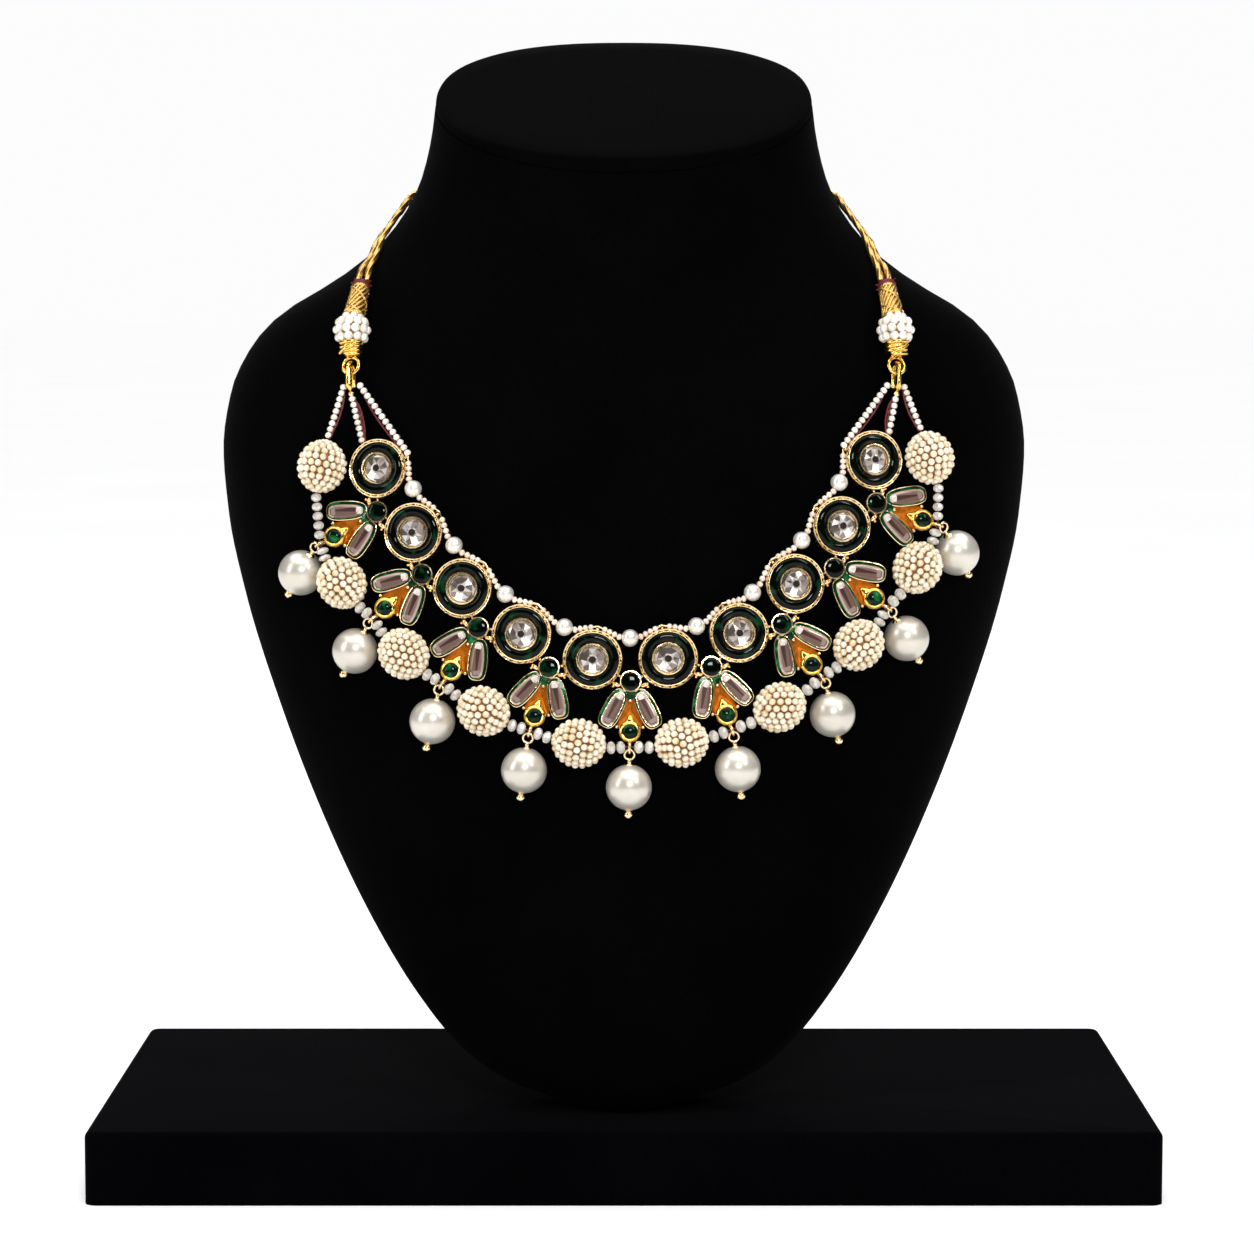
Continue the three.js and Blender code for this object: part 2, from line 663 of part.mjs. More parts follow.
// Where each woven ball is: between two loops, or beside the last medallion
const balls = Array.from({ length: MEDALLION_COUNT }, (_, i) => {
  if (i === 0 || i === MEDALLION_COUNT - 1) {
    const side = i === 0 ? -1 : 1;
    const { x, z } = routePlace(side * (MEDALLION_COUNT - 1) / 2 * PITCH);
    const beside = (MEDALLION_DIAMETER + BALL_DIAMETER) / 2 - BALL_TUCK;
    const centre = lifted(x + side * beside, z, BALL_LIFT);
    const loop = motifs[side < 0 ? 0 : LEAF_COUNT - 1].thread;
    const axis = hookEnd(side).end.sub(loop).normalize().multiplyScalar(side);
    return { centre, axis };
  }
  const before = motifs[i - 1];
  const after = motifs[i];
  const middle = before.thread.clone().add(after.thread).multiplyScalar(0.5);
  middle.addScaledVector(before.down.clone().add(after.down).normalize(), BALL_DROOP);
  middle.addScaledVector(bustNormal(middle.x, middle.z), -BALL_LIFT * 0.8);
  const axis = after.thread.clone().sub(before.thread).normalize();
  return { centre: lifted(middle.x, middle.z, BALL_LIFT), axis };
});

// String of beads as one body, through stations that each give a point and the radius there
function beadString(stations) {
  return loft(stations.map(({ point, radius }, k) => {
    const before = stations[Math.max(k - 1, 0)].point;
    const after = stations[Math.min(k + 1, stations.length - 1)].point;
    const frame = frameAlong(point, after.clone().sub(before));
    return Array.from({ length: STRING_SIDES }, (_, i) => {
      const turn = (i / STRING_SIDES) * 2 * Math.PI;
      return V(radius * Math.cos(turn), radius * Math.sin(turn), 0).applyMatrix4(frame);
    });
  }));
}

// Stations of a run of small crystal beads between two places on the string
function crystalRun(from, to, count) {
  const at = (share, radius) => ({ point: from.clone().lerp(to, share), radius });
  const run = [at(0, THREAD_RADIUS)];
  for (let k = 0; k < count; k += 1) {
    run.push(at((k + 0.5) / count, RONDELLE_DIAMETER / 2));
    if (k < count - 1) run.push(at((k + 1) / count, RONDELLE_DIAMETER / 4));
  }
  run.push(at(1, THREAD_RADIUS));
  return run;
}

// Where a side strand starts beside the hook: way is -1 outside it and 1 towards the neck
function strandStart(side, way) {
  const { end, along, inward } = hookEnd(side);
  return end.addScaledVector(along, -STRAND_UP_HOOK).addScaledVector(inward, way * STRAND_BESIDE_HOOK);
}

// Outer string from hook to hook: a seed strand, then crystals and the thread through balls and loops, then
// the other seed strand. A clear length of thread is left beside each loop.
function outerString() {
  const strand = SEED_STRAND_DIAMETER / 2;
  const ballEnd = ({ centre, axis }, way) => centre.clone()
    .addScaledVector(axis, way * (BALL_LENGTH / 2 + GAP));
  const run = (ball, way, loop) => {
    const from = ballEnd(ball, way);
    const length = from.distanceTo(loop);
    const to = from.clone().lerp(loop, 1 - LOOP_SPACE / length);
    const count = Math.max(Math.round(from.distanceTo(to) / RONDELLE_THICKNESS), 1);
    return crystalRun(from, to, count);
  };
  const strandTo = (start, end) => [{ point: start, radius: strand }, { point: end, radius: strand }];
  const stations = strandTo(strandStart(-1, -1), ballEnd(balls[0], -1));
  balls.forEach((ball, i) => {
    const before = motifs[i - 1];
    const after = motifs[i];
    if (before) stations.push(...run(ball, -1, before.thread).reverse());
    else stations.push({ point: ballEnd(ball, -1).addScaledVector(ball.axis, THREAD_STEP), radius: THREAD_RADIUS });
    if (after) stations.push(...run(ball, 1, after.thread), { point: after.thread, radius: THREAD_RADIUS });
    else stations.push({ point: ballEnd(ball, 1).addScaledVector(ball.axis, -THREAD_STEP), radius: THREAD_RADIUS });
  });
  stations.push(...strandTo(ballEnd(balls[balls.length - 1], 1), strandStart(1, -1)));
  return beadString(stations);
}

// Inner string from hook to hook along the medallions' inner edge, with small pearls between them
const SMALL_PEARL_INWARD = Math.sqrt(Math.max(
  ((MEDALLION_DIAMETER + SMALL_PEARL_DIAMETER) / 2 + SMALL_PEARL_SPACE) ** 2 - (PITCH / 2) ** 2,
  0,
));

function innerString() {
  const seeds = INNER_STRING_DIAMETER / 2;
  const strand = SEED_STRAND_DIAMETER / 2;
  const pearl = SMALL_PEARL_DIAMETER / 2;
  const half = (MEDALLION_COUNT - 1) / 2;
  const at = (along, inward) => {
    const { x, z } = routePlace(along * PITCH, inward);
    return lifted(x, z, pearl + GAP);
  };
  const beside = (i, radius) => {
    const inward = MEDALLION_DIAMETER / 2 + radius + INNER_STRING_SPACE;
    return { point: at(i - half, inward), radius };
  };
  const stations = [{ point: strandStart(-1, 1), radius: strand }, beside(0, strand)];
  for (let i = 0; i < LEAF_COUNT; i += 1) {
    const along = i - half + 0.5;
    const middle = at(along, SMALL_PEARL_INWARD);
    const run = at(along + 0.1, SMALL_PEARL_INWARD).sub(at(along - 0.1, SMALL_PEARL_INWARD)).normalize();
    for (const degrees of [-72, -42, 0, 42, 72]) {
      const reach = pearl * Math.sin(radians(degrees));
      const radius = pearl * Math.cos(radians(degrees));
      stations.push({ point: middle.clone().addScaledVector(run, reach), radius });
    }
    stations.push(beside(i + 1, i + 1 < LEAF_COUNT ? seeds : strand));
  }
  stations.push({ point: strandStart(1, 1), radius: strand });
  return beadString(stations);
}

// Short middle strand from the hook to the first medallion's rim
function middleStrand(side) {
  const { end, along } = hookEnd(side);
  const { x, z } = routePlace(side * (MEDALLION_COUNT - 1) / 2 * PITCH);
  const medallion = lifted(x, z, MEDALLION_HEIGHT / 2 + GAP);
  const from = end.addScaledVector(along, GAP + SEED_STRAND_DIAMETER / 4);
  const reach = from.distanceTo(medallion);
  const to = medallion.clone().lerp(from, (MEDALLION_DIAMETER / 2 + MIDDLE_STRAND_SPACE) / reach);
  return tube([from, to], SEED_STRAND_DIAMETER / 2, STRAND_SIDES);
}

const FINISH = {
  velvet: { color: 0x0b0b0d, roughness: 0.95, metalness: 0 },
  gold: { color: 0xd9a93c, roughness: 0.3, metalness: 1 },
  stone: { color: 0xd9d4d6, roughness: 0.05, metalness: 0.1 },
  seed: { color: 0xeadfc8, roughness: 0.35, metalness: 0 },
  pearl: { color: 0xf1eadc, roughness: 0.2, metalness: 0 },
  zari: { color: 0xc8973a, roughness: 0.45, metalness: 0.8 },
};

const necklace = new THREE.Group();

function place(name, geometry, finish, frame) {
  const mesh = new THREE.Mesh(geometry, new THREE.MeshStandardMaterial(FINISH[finish]));
  mesh.name = name;
  if (frame) frame.decompose(mesh.position, mesh.quaternion, mesh.scale);
  necklace.add(mesh);
}

place('base', base(), 'velvet');
place('bust', bust(), 'velvet');

const setting = medallionSetting();
const stone = medallionStone();
for (let i = 0; i < MEDALLION_COUNT; i += 1) {
  const { x, z, tangent, normal } = routePlace((i - (MEDALLION_COUNT - 1) / 2) * PITCH);
  const inward = normal.clone().cross(tangent);
  place(`medallion_setting_${i + 1}`, setting, 'gold', frameOf(lifted(x, z, GAP), normal, inward));
  const seat = lifted(x, z, GAP + SEAT_HEIGHT + GAP);
  place(`medallion_stone_${i + 1}`, stone, 'stone', frameOf(seat, normal, inward));
}

const leaf = leafMotif();
const drop = pearlDrop();
motifs.forEach(({ frame, dropFrame }, i) => {
  place(`leaf_motif_${i + 1}`, leaf, 'gold', frame);
  place(`pearl_drop_${i + 1}`, drop, 'pearl', dropFrame);
});

const ball = wovenBall();
balls.forEach(({ centre, axis }, i) => {
  place(`woven_ball_${i + 1}`, ball, 'seed', frameAlong(centre, axis));
});

place('outer_string', outerString(), 'seed');
place('inner_string', innerString(), 'pearl');
for (const [name, side] of [['left', -1], ['right', 1]]) {
  place(`middle_strand_${name}`, middleStrand(side), 'seed');
  place(`hook_${name}`, hook(side), 'gold');
  place(`dori_end_${name}`, doriEnd(side), 'zari');
}
place('dori_cord_inner', doriCord(CORD_ROUTES.inner), 'zari');
place('dori_cord_outer', doriCord(CORD_ROUTES.outer), 'zari');

export default necklace;
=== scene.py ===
# Looks of a kundan necklace on its velvet neck bust. The tables and the modelling are in millimetres. Each
# finished piece is in metres, with +Z up and the front facing -Y. Places are worked out as the solids' are.

import math
import random

import bmesh
import bpy
from mathutils import Matrix, Vector


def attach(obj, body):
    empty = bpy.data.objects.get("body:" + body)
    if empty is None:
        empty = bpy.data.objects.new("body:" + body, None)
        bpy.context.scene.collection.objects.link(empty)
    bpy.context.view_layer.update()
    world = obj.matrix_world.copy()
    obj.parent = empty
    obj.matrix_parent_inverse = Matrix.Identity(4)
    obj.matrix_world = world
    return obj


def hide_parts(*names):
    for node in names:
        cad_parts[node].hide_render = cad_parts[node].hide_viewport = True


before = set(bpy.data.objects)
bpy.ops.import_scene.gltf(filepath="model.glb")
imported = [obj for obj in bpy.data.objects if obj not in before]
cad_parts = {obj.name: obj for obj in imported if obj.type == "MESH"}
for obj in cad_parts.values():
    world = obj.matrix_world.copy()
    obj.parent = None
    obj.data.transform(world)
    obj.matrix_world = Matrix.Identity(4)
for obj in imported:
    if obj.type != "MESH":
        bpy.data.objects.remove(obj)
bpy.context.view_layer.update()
MM = 0.001
GAP = 0.35

# Camera at the photograph's place, in millimetres and degrees
CAMERA_PLACE = (0.8, -928.0, 223.5)
CAMERA_PITCH = 5.41
CAMERA_LENS = 104.0

# Base and bust
BASE_SIZE = (263, 126, 18)
BASE_CORNER = 3.0
BASE_EDGE = 1.7
FOOT = BASE_SIZE[2] + GAP
BUST_HEIGHT = 252.7
BUST_WIDTH = 206
BUST_DEPTH = 95.6
CAP_SLANT = math.radians(23.8)
FRONT_ROUNDNESS = 2.15
BACK_ROUNDNESS = 2.4
SLANT_START = 0.87
CAP_SEAM_DEPTH = 1.6
CAP_BAND = 3

# Medallions, leaf motifs between them, drops and woven balls
MEDALLION_COUNT = 10
MEDALLION_DIAMETER = 14.8
PITCH = MEDALLION_DIAMETER + 3.5
MEDALLION_HEIGHT = 3.1
SEAT_HEIGHT = 2.5
LEAF_COUNT = MEDALLION_COUNT - 1
DARK_DIAMETER = 5.3
LEAF_LENGTH = 10.3
LEAF_WIDTH = 5.2
LEAF_SPREAD = math.radians(27)
LEAF_REACH = 7.8
LEAF_BEARING = math.radians(32)
LEAF_HEIGHT = 2.9
BEZEL_HEIGHT = 2.1
LEAF_TILT = math.radians(8)
CUP_REACH = 12
LOOP_RADIUS = 1.5
LOOP_WIRE = 0.35
LOOP_REACH = CUP_REACH + 2.9 + LOOP_RADIUS
LOOP_LEVEL = LEAF_HEIGHT / 2 + 0.9
THREAD_UP = 0.3
THREAD_OUT = 0.6
DROP_DIAMETER = 11.2
DROP_REACH = 8
BALL_LENGTH = 13.4
BALL_DIAMETER = 12.2
BALL_DROOP = 1.1
BALL_TUCK = 1.4
BALL_LIFT = BALL_DIAMETER / 2 + GAP

# Strings and strands: their beads, and the radii of the threads through them
SMALL_PEARL = 4.3
SMALL_PEARL_SPACE = 1.3
SEED = 1.8
SEED_STEP = 1.62
MIDDLE_SEED_STEP = 1.6
INNER_SEED = 1.3
INNER_SEEDS = (1.65, 1.6, 1.5, 1.4)
CRYSTAL_WIDTH = 3.2
END_CRYSTAL_WIDTH = 2.7
CRYSTAL_LENGTH = 2.3
CRYSTAL_TUCK = 0.3
LOOP_CLEARANCE = 1.0
STRAND_THREAD = 0.3
STRING_THREAD = 0.25

# End fittings and cords
CLUSTER_DIAMETER = 9.4
CLUSTER_SINK = 0.9
COIL_REACH = 8
EYE_RADIUS = 2.1
EYE_WIRE = 0.5
HOOK_HALF_LENGTH = 3.4
HOOK_RADIUS = 1.6
HOOK_WIRE = 0.65
HOOK_OVERLAP = 0.6
STRAND_RISE = 2.3
CORD_DIAMETER = 1.7

# Sections of the bust: height, width, side, front and back, as shares of its sizes
BUST_SECTIONS = [
    (0.000, 0.087, -0.335, -0.439, -0.230),
    (0.009, 0.180, -0.324, -0.460, -0.167),
    (0.027, 0.306, -0.293, -0.481, -0.105),
    (0.054, 0.403, -0.251, -0.494, -0.042),
    (0.098, 0.500, -0.199, -0.504, 0.042),
    (0.165, 0.608, -0.146, -0.513, 0.136),
    (0.264, 0.731, -0.094, -0.519, 0.230),
    (0.383, 0.849, -0.042, -0.515, 0.314),
    (0.501, 0.943, 0.010, -0.495, 0.377),
    (0.581, 0.986, 0.042, -0.473, 0.413),
    (0.648, 1.000, 0.063, -0.442, 0.439),
    (0.703, 0.981, 0.078, -0.406, 0.460),
    (0.747, 0.932, 0.084, -0.373, 0.473),
    (0.782, 0.854, 0.084, -0.346, 0.481),
    (0.806, 0.757, 0.084, -0.328, 0.481),
    (0.834, 0.655, 0.084, -0.314, 0.481),
    (0.869, 0.570, 0.084, -0.309, 0.481),
    (0.917, 0.505, 0.084, -0.309, 0.481),
    (0.964, 0.477, 0.084, -0.309, 0.481),
    (1.000, 0.466, 0.084, -0.309, 0.481),
]
WIDE, SIDE, FRONT, BACK = 1, 2, 3, 4

# Route of the medallions' middles, left to right, as shares of half the bust's width and of its height
MEDALLION_ROUTE = [
    (-0.612, 0.694), (-0.576, 0.628), (-0.496, 0.572), (-0.380, 0.519), (-0.239, 0.475), (-0.075, 0.451),
    (0.106, 0.452), (0.270, 0.476), (0.405, 0.524), (0.515, 0.579), (0.586, 0.636), (0.622, 0.702),
]

# Lean of each leaf motif and its drop from straight down, in degrees, from left to right
LEANS = [(-58, -30), (-46, -26), (-31, -12), (-16, -7), (-1, -1), (17, 7), (35, 13), (51, 29), (68, 29)]

# Fittings over the left shoulder: across and up as shares, and the lift off the bust
WHIPPING = (-0.622, 0.806, 3.2)
CLUSTER = (-0.635, 0.762, 5.2)
EYE = (-0.643, 0.722, 3.6)
HOOK = (-0.643, 0.699, 2.9)

# Left halves of the cords' routes, above the bust's foot
CORD_ROUTES = {
    "inner": [
        (-64.3, -18.0, 205.8), (-63.9, -13.5, 209.0), (-62.9, -8.1, 212.6), (-61.7, -1.9, 216.8),
        (-59.6, 2.8, 220.7), (-57.4, 8.5, 224.4), (-55.4, 14.6, 227.7), (-53.4, 21.9, 229.4),
        (-51.9, 25.8, 230.3), (-49.6, 29.3, 230.9), (-46.0, 33.9, 231.3), (-41.3, 37.8, 231.5),
        (-35.8, 41.2, 231.7), (-29.6, 43.8, 231.8), (-15.0, 46.9, 231.6), (0.0, 47.6, 231.5),
    ],
    "outer": [
        (-66.4, -18.0, 205.8), (-65.9, -13.2, 208.7), (-64.5, -7.1, 211.7), (-63.1, -0.8, 215.7),
        (-60.6, 4.1, 219.5), (-58.3, 9.6, 223.0), (-56.2, 15.4, 226.0), (-54.0, 22.7, 227.6),
        (-52.4, 26.3, 228.4), (-50.0, 29.8, 228.9), (-46.3, 34.3, 229.3), (-41.6, 38.1, 229.5),
        (-35.9, 41.4, 229.7), (-29.7, 43.9, 229.8), (-15.0, 46.9, 229.5), (0.0, 47.6, 229.3),
    ],
}


def smooth_line(points, steps):
    """Centripetal curve through the points, with that many steps between each two of them."""
    ends = [points[0] * 2 - points[1], *points, points[-1] * 2 - points[-2]]
    line = []
    for k in range(len(points) - 1):
        a, b, c, d = ends[k:k + 4]
        before, span, after = (math.sqrt((q - p).length) or 1e-3 for p, q in ((a, b), (b, c), (c, d)))
        leave = ((b - a) / before - (c - a) / (before + span) + (c - b) / span) * span
        arrive = ((c - b) / span - (d - b) / (span + after) + (d - c) / after) * span
        for i in range(steps):
            t = i / steps
            line.append(b + leave * t + (3 * (c - b) - 2 * leave - arrive) * t * t
                        + (2 * (b - c) + leave + arrive) * t ** 3)
    return [*line, points[-1].copy()]


def section(column, up):
    """Smooth value of one column of the bust's sections at a share of its height."""
    rows = BUST_SECTIONS
    last = len(rows) - 1
    up = min(max(up, 0), 1)

    def span(k):
        return rows[k + 1][0] - rows[k][0]

    def slope(k):
        return (rows[k + 1][column] - rows[k][column]) / span(k)

    def tangent(k):
        if k == 0:
            return slope(0)
        if k == last:
            return slope(last - 1)
        before, after = slope(k - 1), slope(k)
        if before * after <= 0:
            return 0
        near = 2 * span(k) + span(k - 1)
        far = span(k) + 2 * span(k - 1)
        return (near + far) / (near / before + far / after)

    k = 0
    while k < last - 1 and rows[k + 1][0] < up:
        k += 1
    t = (up - rows[k][0]) / span(k)
    s = 1 - t
    return ((1 + 2 * t) * s * s * rows[k][column] + t * s * s * span(k) * tangent(k)
            + t * t * (3 - 2 * t) * rows[k + 1][column] - t * t * s * span(k) * tangent(k + 1))


def on_bust(x, z):
    """Place on the bust's front."""
    up = (z - FOOT) / BUST_HEIGHT
    half = section(WIDE, up) * BUST_WIDTH / 2
    side = section(SIDE, up) * BUST_DEPTH
    front = section(FRONT, up) * BUST_DEPTH
    share = min(abs(x) / half, 1)
    return Vector((x, side + (front - side) * (1 - share ** FRONT_ROUNDNESS) ** (1 / FRONT_ROUNDNESS), z))


def bust_normal(x, z):
    step = 0.2
    across = on_bust(x + step, z) - on_bust(x - step, z)
    upward = on_bust(x, z + step) - on_bust(x, z - step)
    return across.cross(upward).normalized()


def lifted(x, z, lift):
    return on_bust(x, z) + bust_normal(x, z) * lift


def spot(across, up):
    return across * BUST_WIDTH / 2, FOOT + up * BUST_HEIGHT


def down_bust(x, z, lean):
    """Direction in the bust's surface at a lean, in degrees, from straight down."""
    normal = bust_normal(x, z)
    along = Vector((math.sin(math.radians(lean)), 0, -math.cos(math.radians(lean))))
    along.y = -(normal.x * along.x + normal.z * along.z) / normal.y
    return along.normalized()


def frame_from(x, y, z, origin):
    matrix = Matrix((x, y, z)).transposed().to_4x4()
    matrix.translation = origin
    return matrix


def frame_of(origin, out, upward):
    """Frame whose Z is the way out and whose Y is as near as it can be to the way up."""
    z = out.normalized()
    x = upward.cross(z).normalized()
    return frame_from(x, z.cross(x), z, origin)


def frame_along(origin, along):
    return frame_of(origin, along, Vector((0, -1, 0.2)))


def hanging(origin, down, out):
    """Frame whose Y is the way up along a hanging piece and whose Z faces away from the bust."""
    y = -down.normalized()
    x = y.cross(out).normalized()
    return frame_from(x, y, x.cross(y), origin)


ROUTE = smooth_line([on_bust(*spot(*row)) for row in MEDALLION_ROUTE], 60)
ROUTE_LENGTHS = [0.0]
for here, there in zip(ROUTE, ROUTE[1:]):
    ROUTE_LENGTHS.append(ROUTE_LENGTHS[-1] + (there - here).length)
ROUTE_MIDDLE = ROUTE_LENGTHS[len(ROUTE) // 2]


def route_place(along, inward=0.0):
    """x, z, way along and way out at a length along the medallions' route from its middle."""
    reach = ROUTE_MIDDLE + along
    inside = min(max(reach, 0), ROUTE_LENGTHS[-1])
    k = 0
    while k < len(ROUTE) - 2 and ROUTE_LENGTHS[k + 1] < inside:
        k += 1
    share = (inside - ROUTE_LENGTHS[k]) / (ROUTE_LENGTHS[k + 1] - ROUTE_LENGTHS[k])
    tangent = (ROUTE[min(k + 2, len(ROUTE) - 1)] - ROUTE[max(k - 1, 0)]).normalized()
    middle = ROUTE[k].lerp(ROUTE[k + 1], share) + tangent * (reach - inside)
    middle += bust_normal(middle.x, middle.z).cross(tangent).normalized() * inward
    return middle.x, middle.z, tangent, bust_normal(middle.x, middle.z)


def motif_places():
    """Frame, way down, thread's place and drop's frame for each leaf motif."""
    reach = (MEDALLION_DIAMETER + DARK_DIAMETER) / 2 + GAP
    dark_out = math.sqrt(reach ** 2 - (PITCH / 2) ** 2)
    places = []
    for i, (leaf, drop) in enumerate(LEANS):
        x, z, _, _ = route_place((i - (LEAF_COUNT - 1) / 2) * PITCH, -dark_out)
        normal = bust_normal(x, z)
        down = down_bust(x, z, leaf) * math.cos(LEAF_TILT) + normal * math.sin(LEAF_TILT)
        origin = lifted(x, z, GAP + DARK_DIAMETER / 2 * math.sin(LEAF_TILT) + 0.1)
        motif = hanging(origin, down, normal)
        thread = motif @ Vector((0, THREAD_UP - LOOP_REACH, LOOP_LEVEL + THREAD_OUT))
        link = motif @ Vector((0, -LOOP_RADIUS - LOOP_REACH, LOOP_LEVEL))
        below = link + down_bust(link.x, link.z, drop) * DROP_REACH
        foot = below - bust_normal(below.x, below.z) * DROP_DIAMETER / 2
        pearl = lifted(foot.x, foot.z, DROP_DIAMETER / 2 + GAP)
        drop_frame = hanging(link, (pearl - link).normalized(), bust_normal(foot.x, foot.z))
        places.append((motif, down, thread, drop_frame))
    return places


def fitting(place, side):
    across, up, lift = place
    x, z = spot(across, up)
    return lifted(side * -x, z, lift)


def eye_place(side):
    """Eye's middle, the way down from the cluster and the way out through the eye."""
    cluster = fitting(CLUSTER, side)
    down = (fitting(EYE, side) - cluster).normalized()
    middle = cluster + down * (COIL_REACH + EYE_RADIUS - EYE_WIRE / 2)
    return middle, down, bust_normal(middle.x, middle.z)


def hook_place(side):
    """Hook's middle, the way down along it and the way out."""
    middle, _, normal = eye_place(side)
    along = (fitting(HOOK, side) - middle).normalized()
    out = (normal - along * normal.dot(along)).normalized()
    return middle + along * (HOOK_HALF_LENGTH - HOOK_OVERLAP), along, out


def hook_end(side):
    centre, along, out = hook_place(side)
    return centre + along * (HOOK_HALF_LENGTH + HOOK_WIRE), along, along.cross(out) * side


def strand_start(side, way):
    end, along, inward = hook_end(side)
    return end - along * STRAND_RISE + inward * way * (HOOK_WIRE + SEED / 2 + GAP)


def ball_places(motifs):
    """Middle and axis of each woven ball."""
    places = []
    for i in range(MEDALLION_COUNT):
        if i in (0, MEDALLION_COUNT - 1):
            side = -1 if i == 0 else 1
            x, z, _, _ = route_place(side * (MEDALLION_COUNT - 1) / 2 * PITCH)
            beside = (MEDALLION_DIAMETER + BALL_DIAMETER) / 2 - BALL_TUCK
            loop = motifs[0 if side < 0 else -1][2]
            axis = (hook_end(side)[0] - loop).normalized() * side
            places.append((lifted(x + side * beside, z, BALL_LIFT), axis))
            continue
        _, down_before, before, _ = motifs[i - 1]
        _, down_after, after, _ = motifs[i]
        middle = (before + after) / 2 + (down_before + down_after).normalized() * BALL_DROOP
        middle -= bust_normal(middle.x, middle.z) * BALL_LIFT * 0.8
        places.append((lifted(middle.x, middle.z, BALL_LIFT), (after - before).normalized()))
    return places


MOTIFS = motif_places()
BALLS = ball_places(MOTIFS)


# Every finish, in the order of the numbers that the faces carry until a form is done
FINISHES = []


def hex_colour(text):
    """sRGB hex value as linear light."""
    parts = [int(text[k:k + 2], 16) / 255 for k in (1, 3, 5)]
    return (*(c / 12.92 if c <= 0.04045 else ((c + 0.055) / 1.055) ** 2.4 for c in parts), 1.0)


def add(tree, kind, inputs=None, **settings):
    """Adds a node with its settings, values and links."""
    made = tree.nodes.new(kind)
    for name, value in settings.items():
        setattr(made, name, value)
    for name, value in (inputs or {}).items():
        if isinstance(value, bpy.types.NodeSocket):
            tree.links.new(value, made.inputs[name])
        else:
            made.inputs[name].default_value = value
    return made


def surface(name, inputs):
    """New finish with its shader's own values set."""
    material = bpy.data.materials.new(name)
    FINISHES.append(material)
    material.use_nodes = True
    shader = material.node_tree.nodes["Principled BSDF"]
    for socket, value in inputs.items():
        shader.inputs[socket].default_value = value
    return material, material.node_tree, shader


def noise(tree, scale, detail, rough=0.5):
    """Cloudy pattern over a piece, with that many clouds to the metre."""
    place = add(tree, "ShaderNodeTexCoord").outputs["Object"]
    return add(tree, "ShaderNodeTexNoise", {
        "Vector": place, "Scale": scale, "Detail": detail, "Roughness": rough,
    }).outputs["Fac"]


def ranged(tree, value, **limits):
    """Value carried from one range to another, with limits such as from_min=0.3."""
    inputs = {limit.replace("_", " ").title(): number for limit, number in limits.items()}
    return add(tree, "ShaderNodeMapRange", {"Value": value, **inputs}).outputs["Result"]


def blend(tree, factor, dark, light):
    """Colour that runs from one to the other by a factor."""
    return add(tree, "ShaderNodeMix", {0: factor, 6: dark, 7: light}, data_type="RGBA").outputs[2]


def tinted(tree, shader, factor, dark, light):
    colour = blend(tree, factor, hex_colour(dark), hex_colour(light))
    tree.links.new(colour, shader.inputs["Base Color"])


def roughened(tree, shader, height, depth, strength=1.0):
    """Small relief of a real depth in metres."""
    bump = add(tree, "ShaderNodeBump", {"Height": height, "Distance": depth, "Strength": strength})
    tree.links.new(bump.outputs["Normal"], shader.inputs["Normal"])


def velvet(name, dark, light):
    # Cotton velvet, woven with a cut pile and stretched over a hard form: near black, with soft patches of
    # painted sheen where the nap lies another way, and a faint lighter edge from the shader's own sheen where
    # it is seen along the pile
    material, tree, shader = surface(name, {
        "Roughness": 1.0, "Specular IOR Level": 0.01, "Sheen Weight": 0.022, "Sheen Roughness": 0.4,
        "Sheen Tint": hex_colour("#A8A8B0"),
    })
    # The nap's patches are about 35 mm across. The pile's tufts are about 0.7 mm, coarser than the real 0.3
    painted_sheen_patches = noise(tree, 28, 3, 0.6)
    tufts = noise(tree, 1400, 2, 0.7)
    painted_sheen = add(tree, "ShaderNodeMath", {0: painted_sheen_patches, 1: tufts}, operation="MULTIPLY")
    # The base colour is painted sheen: lighter in the nap's patches and on the tufts' high points, darker in
    # their low points
    tinted(tree, shader, painted_sheen.outputs[0], dark, light)
    roughened(tree, shader, tufts, 0.0003, 0.6)
    return material


def polished_gold(name, colour, deeper_tone, roughness):
    # Gold plate over silver, filed and hand polished: a warm pale mirror with the burnisher's fine waves
    material, tree, shader = surface(name, {"Metallic": 1.0, "Roughness": roughness})
    waves = noise(tree, 900, 2)
    grain = noise(tree, 4000, 1)
    # The colour is deeper where the waves are low and paler on their crests
    tinted(tree, shader, waves, deeper_tone, colour)
    rough = ranged(tree, grain, to_min=roughness * 0.7, to_max=roughness * 1.5)
    tree.links.new(rough, shader.inputs["Roughness"])
    roughened(tree, shader, waves, 0.00008)
    return material


def fired_enamel(name, dark, painted_glint_colour, painted_glint_spread):
    # Green enamel, fired over engraved metal and polished: almost black and glassy, with lighter green
    # patches painted in as glints that stand for light coming back from the metal below
    material, tree, shader = surface(name, {"Roughness": 0.05, "IOR": 1.5, "Specular IOR Level": 0.15})
    depths = noise(tree, 380, 1)
    painted_glint = ranged(tree, depths, from_min=0.62 - painted_glint_spread, from_max=0.78 - painted_glint_spread)
    # The lighter green patches are painted glints; the spread widens them
    tinted(tree, shader, painted_glint, dark, painted_glint_colour)
    roughened(tree, shader, depths, 0.00002)
    return material


def foiled_stone(name, shade, body, flash):
    # Clear stone, cut flat and set over bright foil, under a glassy face: each facet carries a painted tone,
    # from painted shade through the stone's body colour to a painted highlight
    material, tree, shader = surface(name, {
        "Roughness": 0.12, "IOR": 1.6, "Metallic": 0.2, "Specular IOR Level": 0.35,
    })
    facet = add(tree, "ShaderNodeAttribute", attribute_name="facet").outputs["Fac"]
    # Facet tones are painted light: shade up to the body colour, then the body up to the painted flash
    dim = blend(tree, ranged(tree, facet, from_max=0.5), hex_colour(shade), hex_colour(body))
    bright = blend(tree, ranged(tree, facet, from_min=0.5), dim, hex_colour(flash))
    tree.links.new(bright, shader.inputs["Base Color"])
    return material


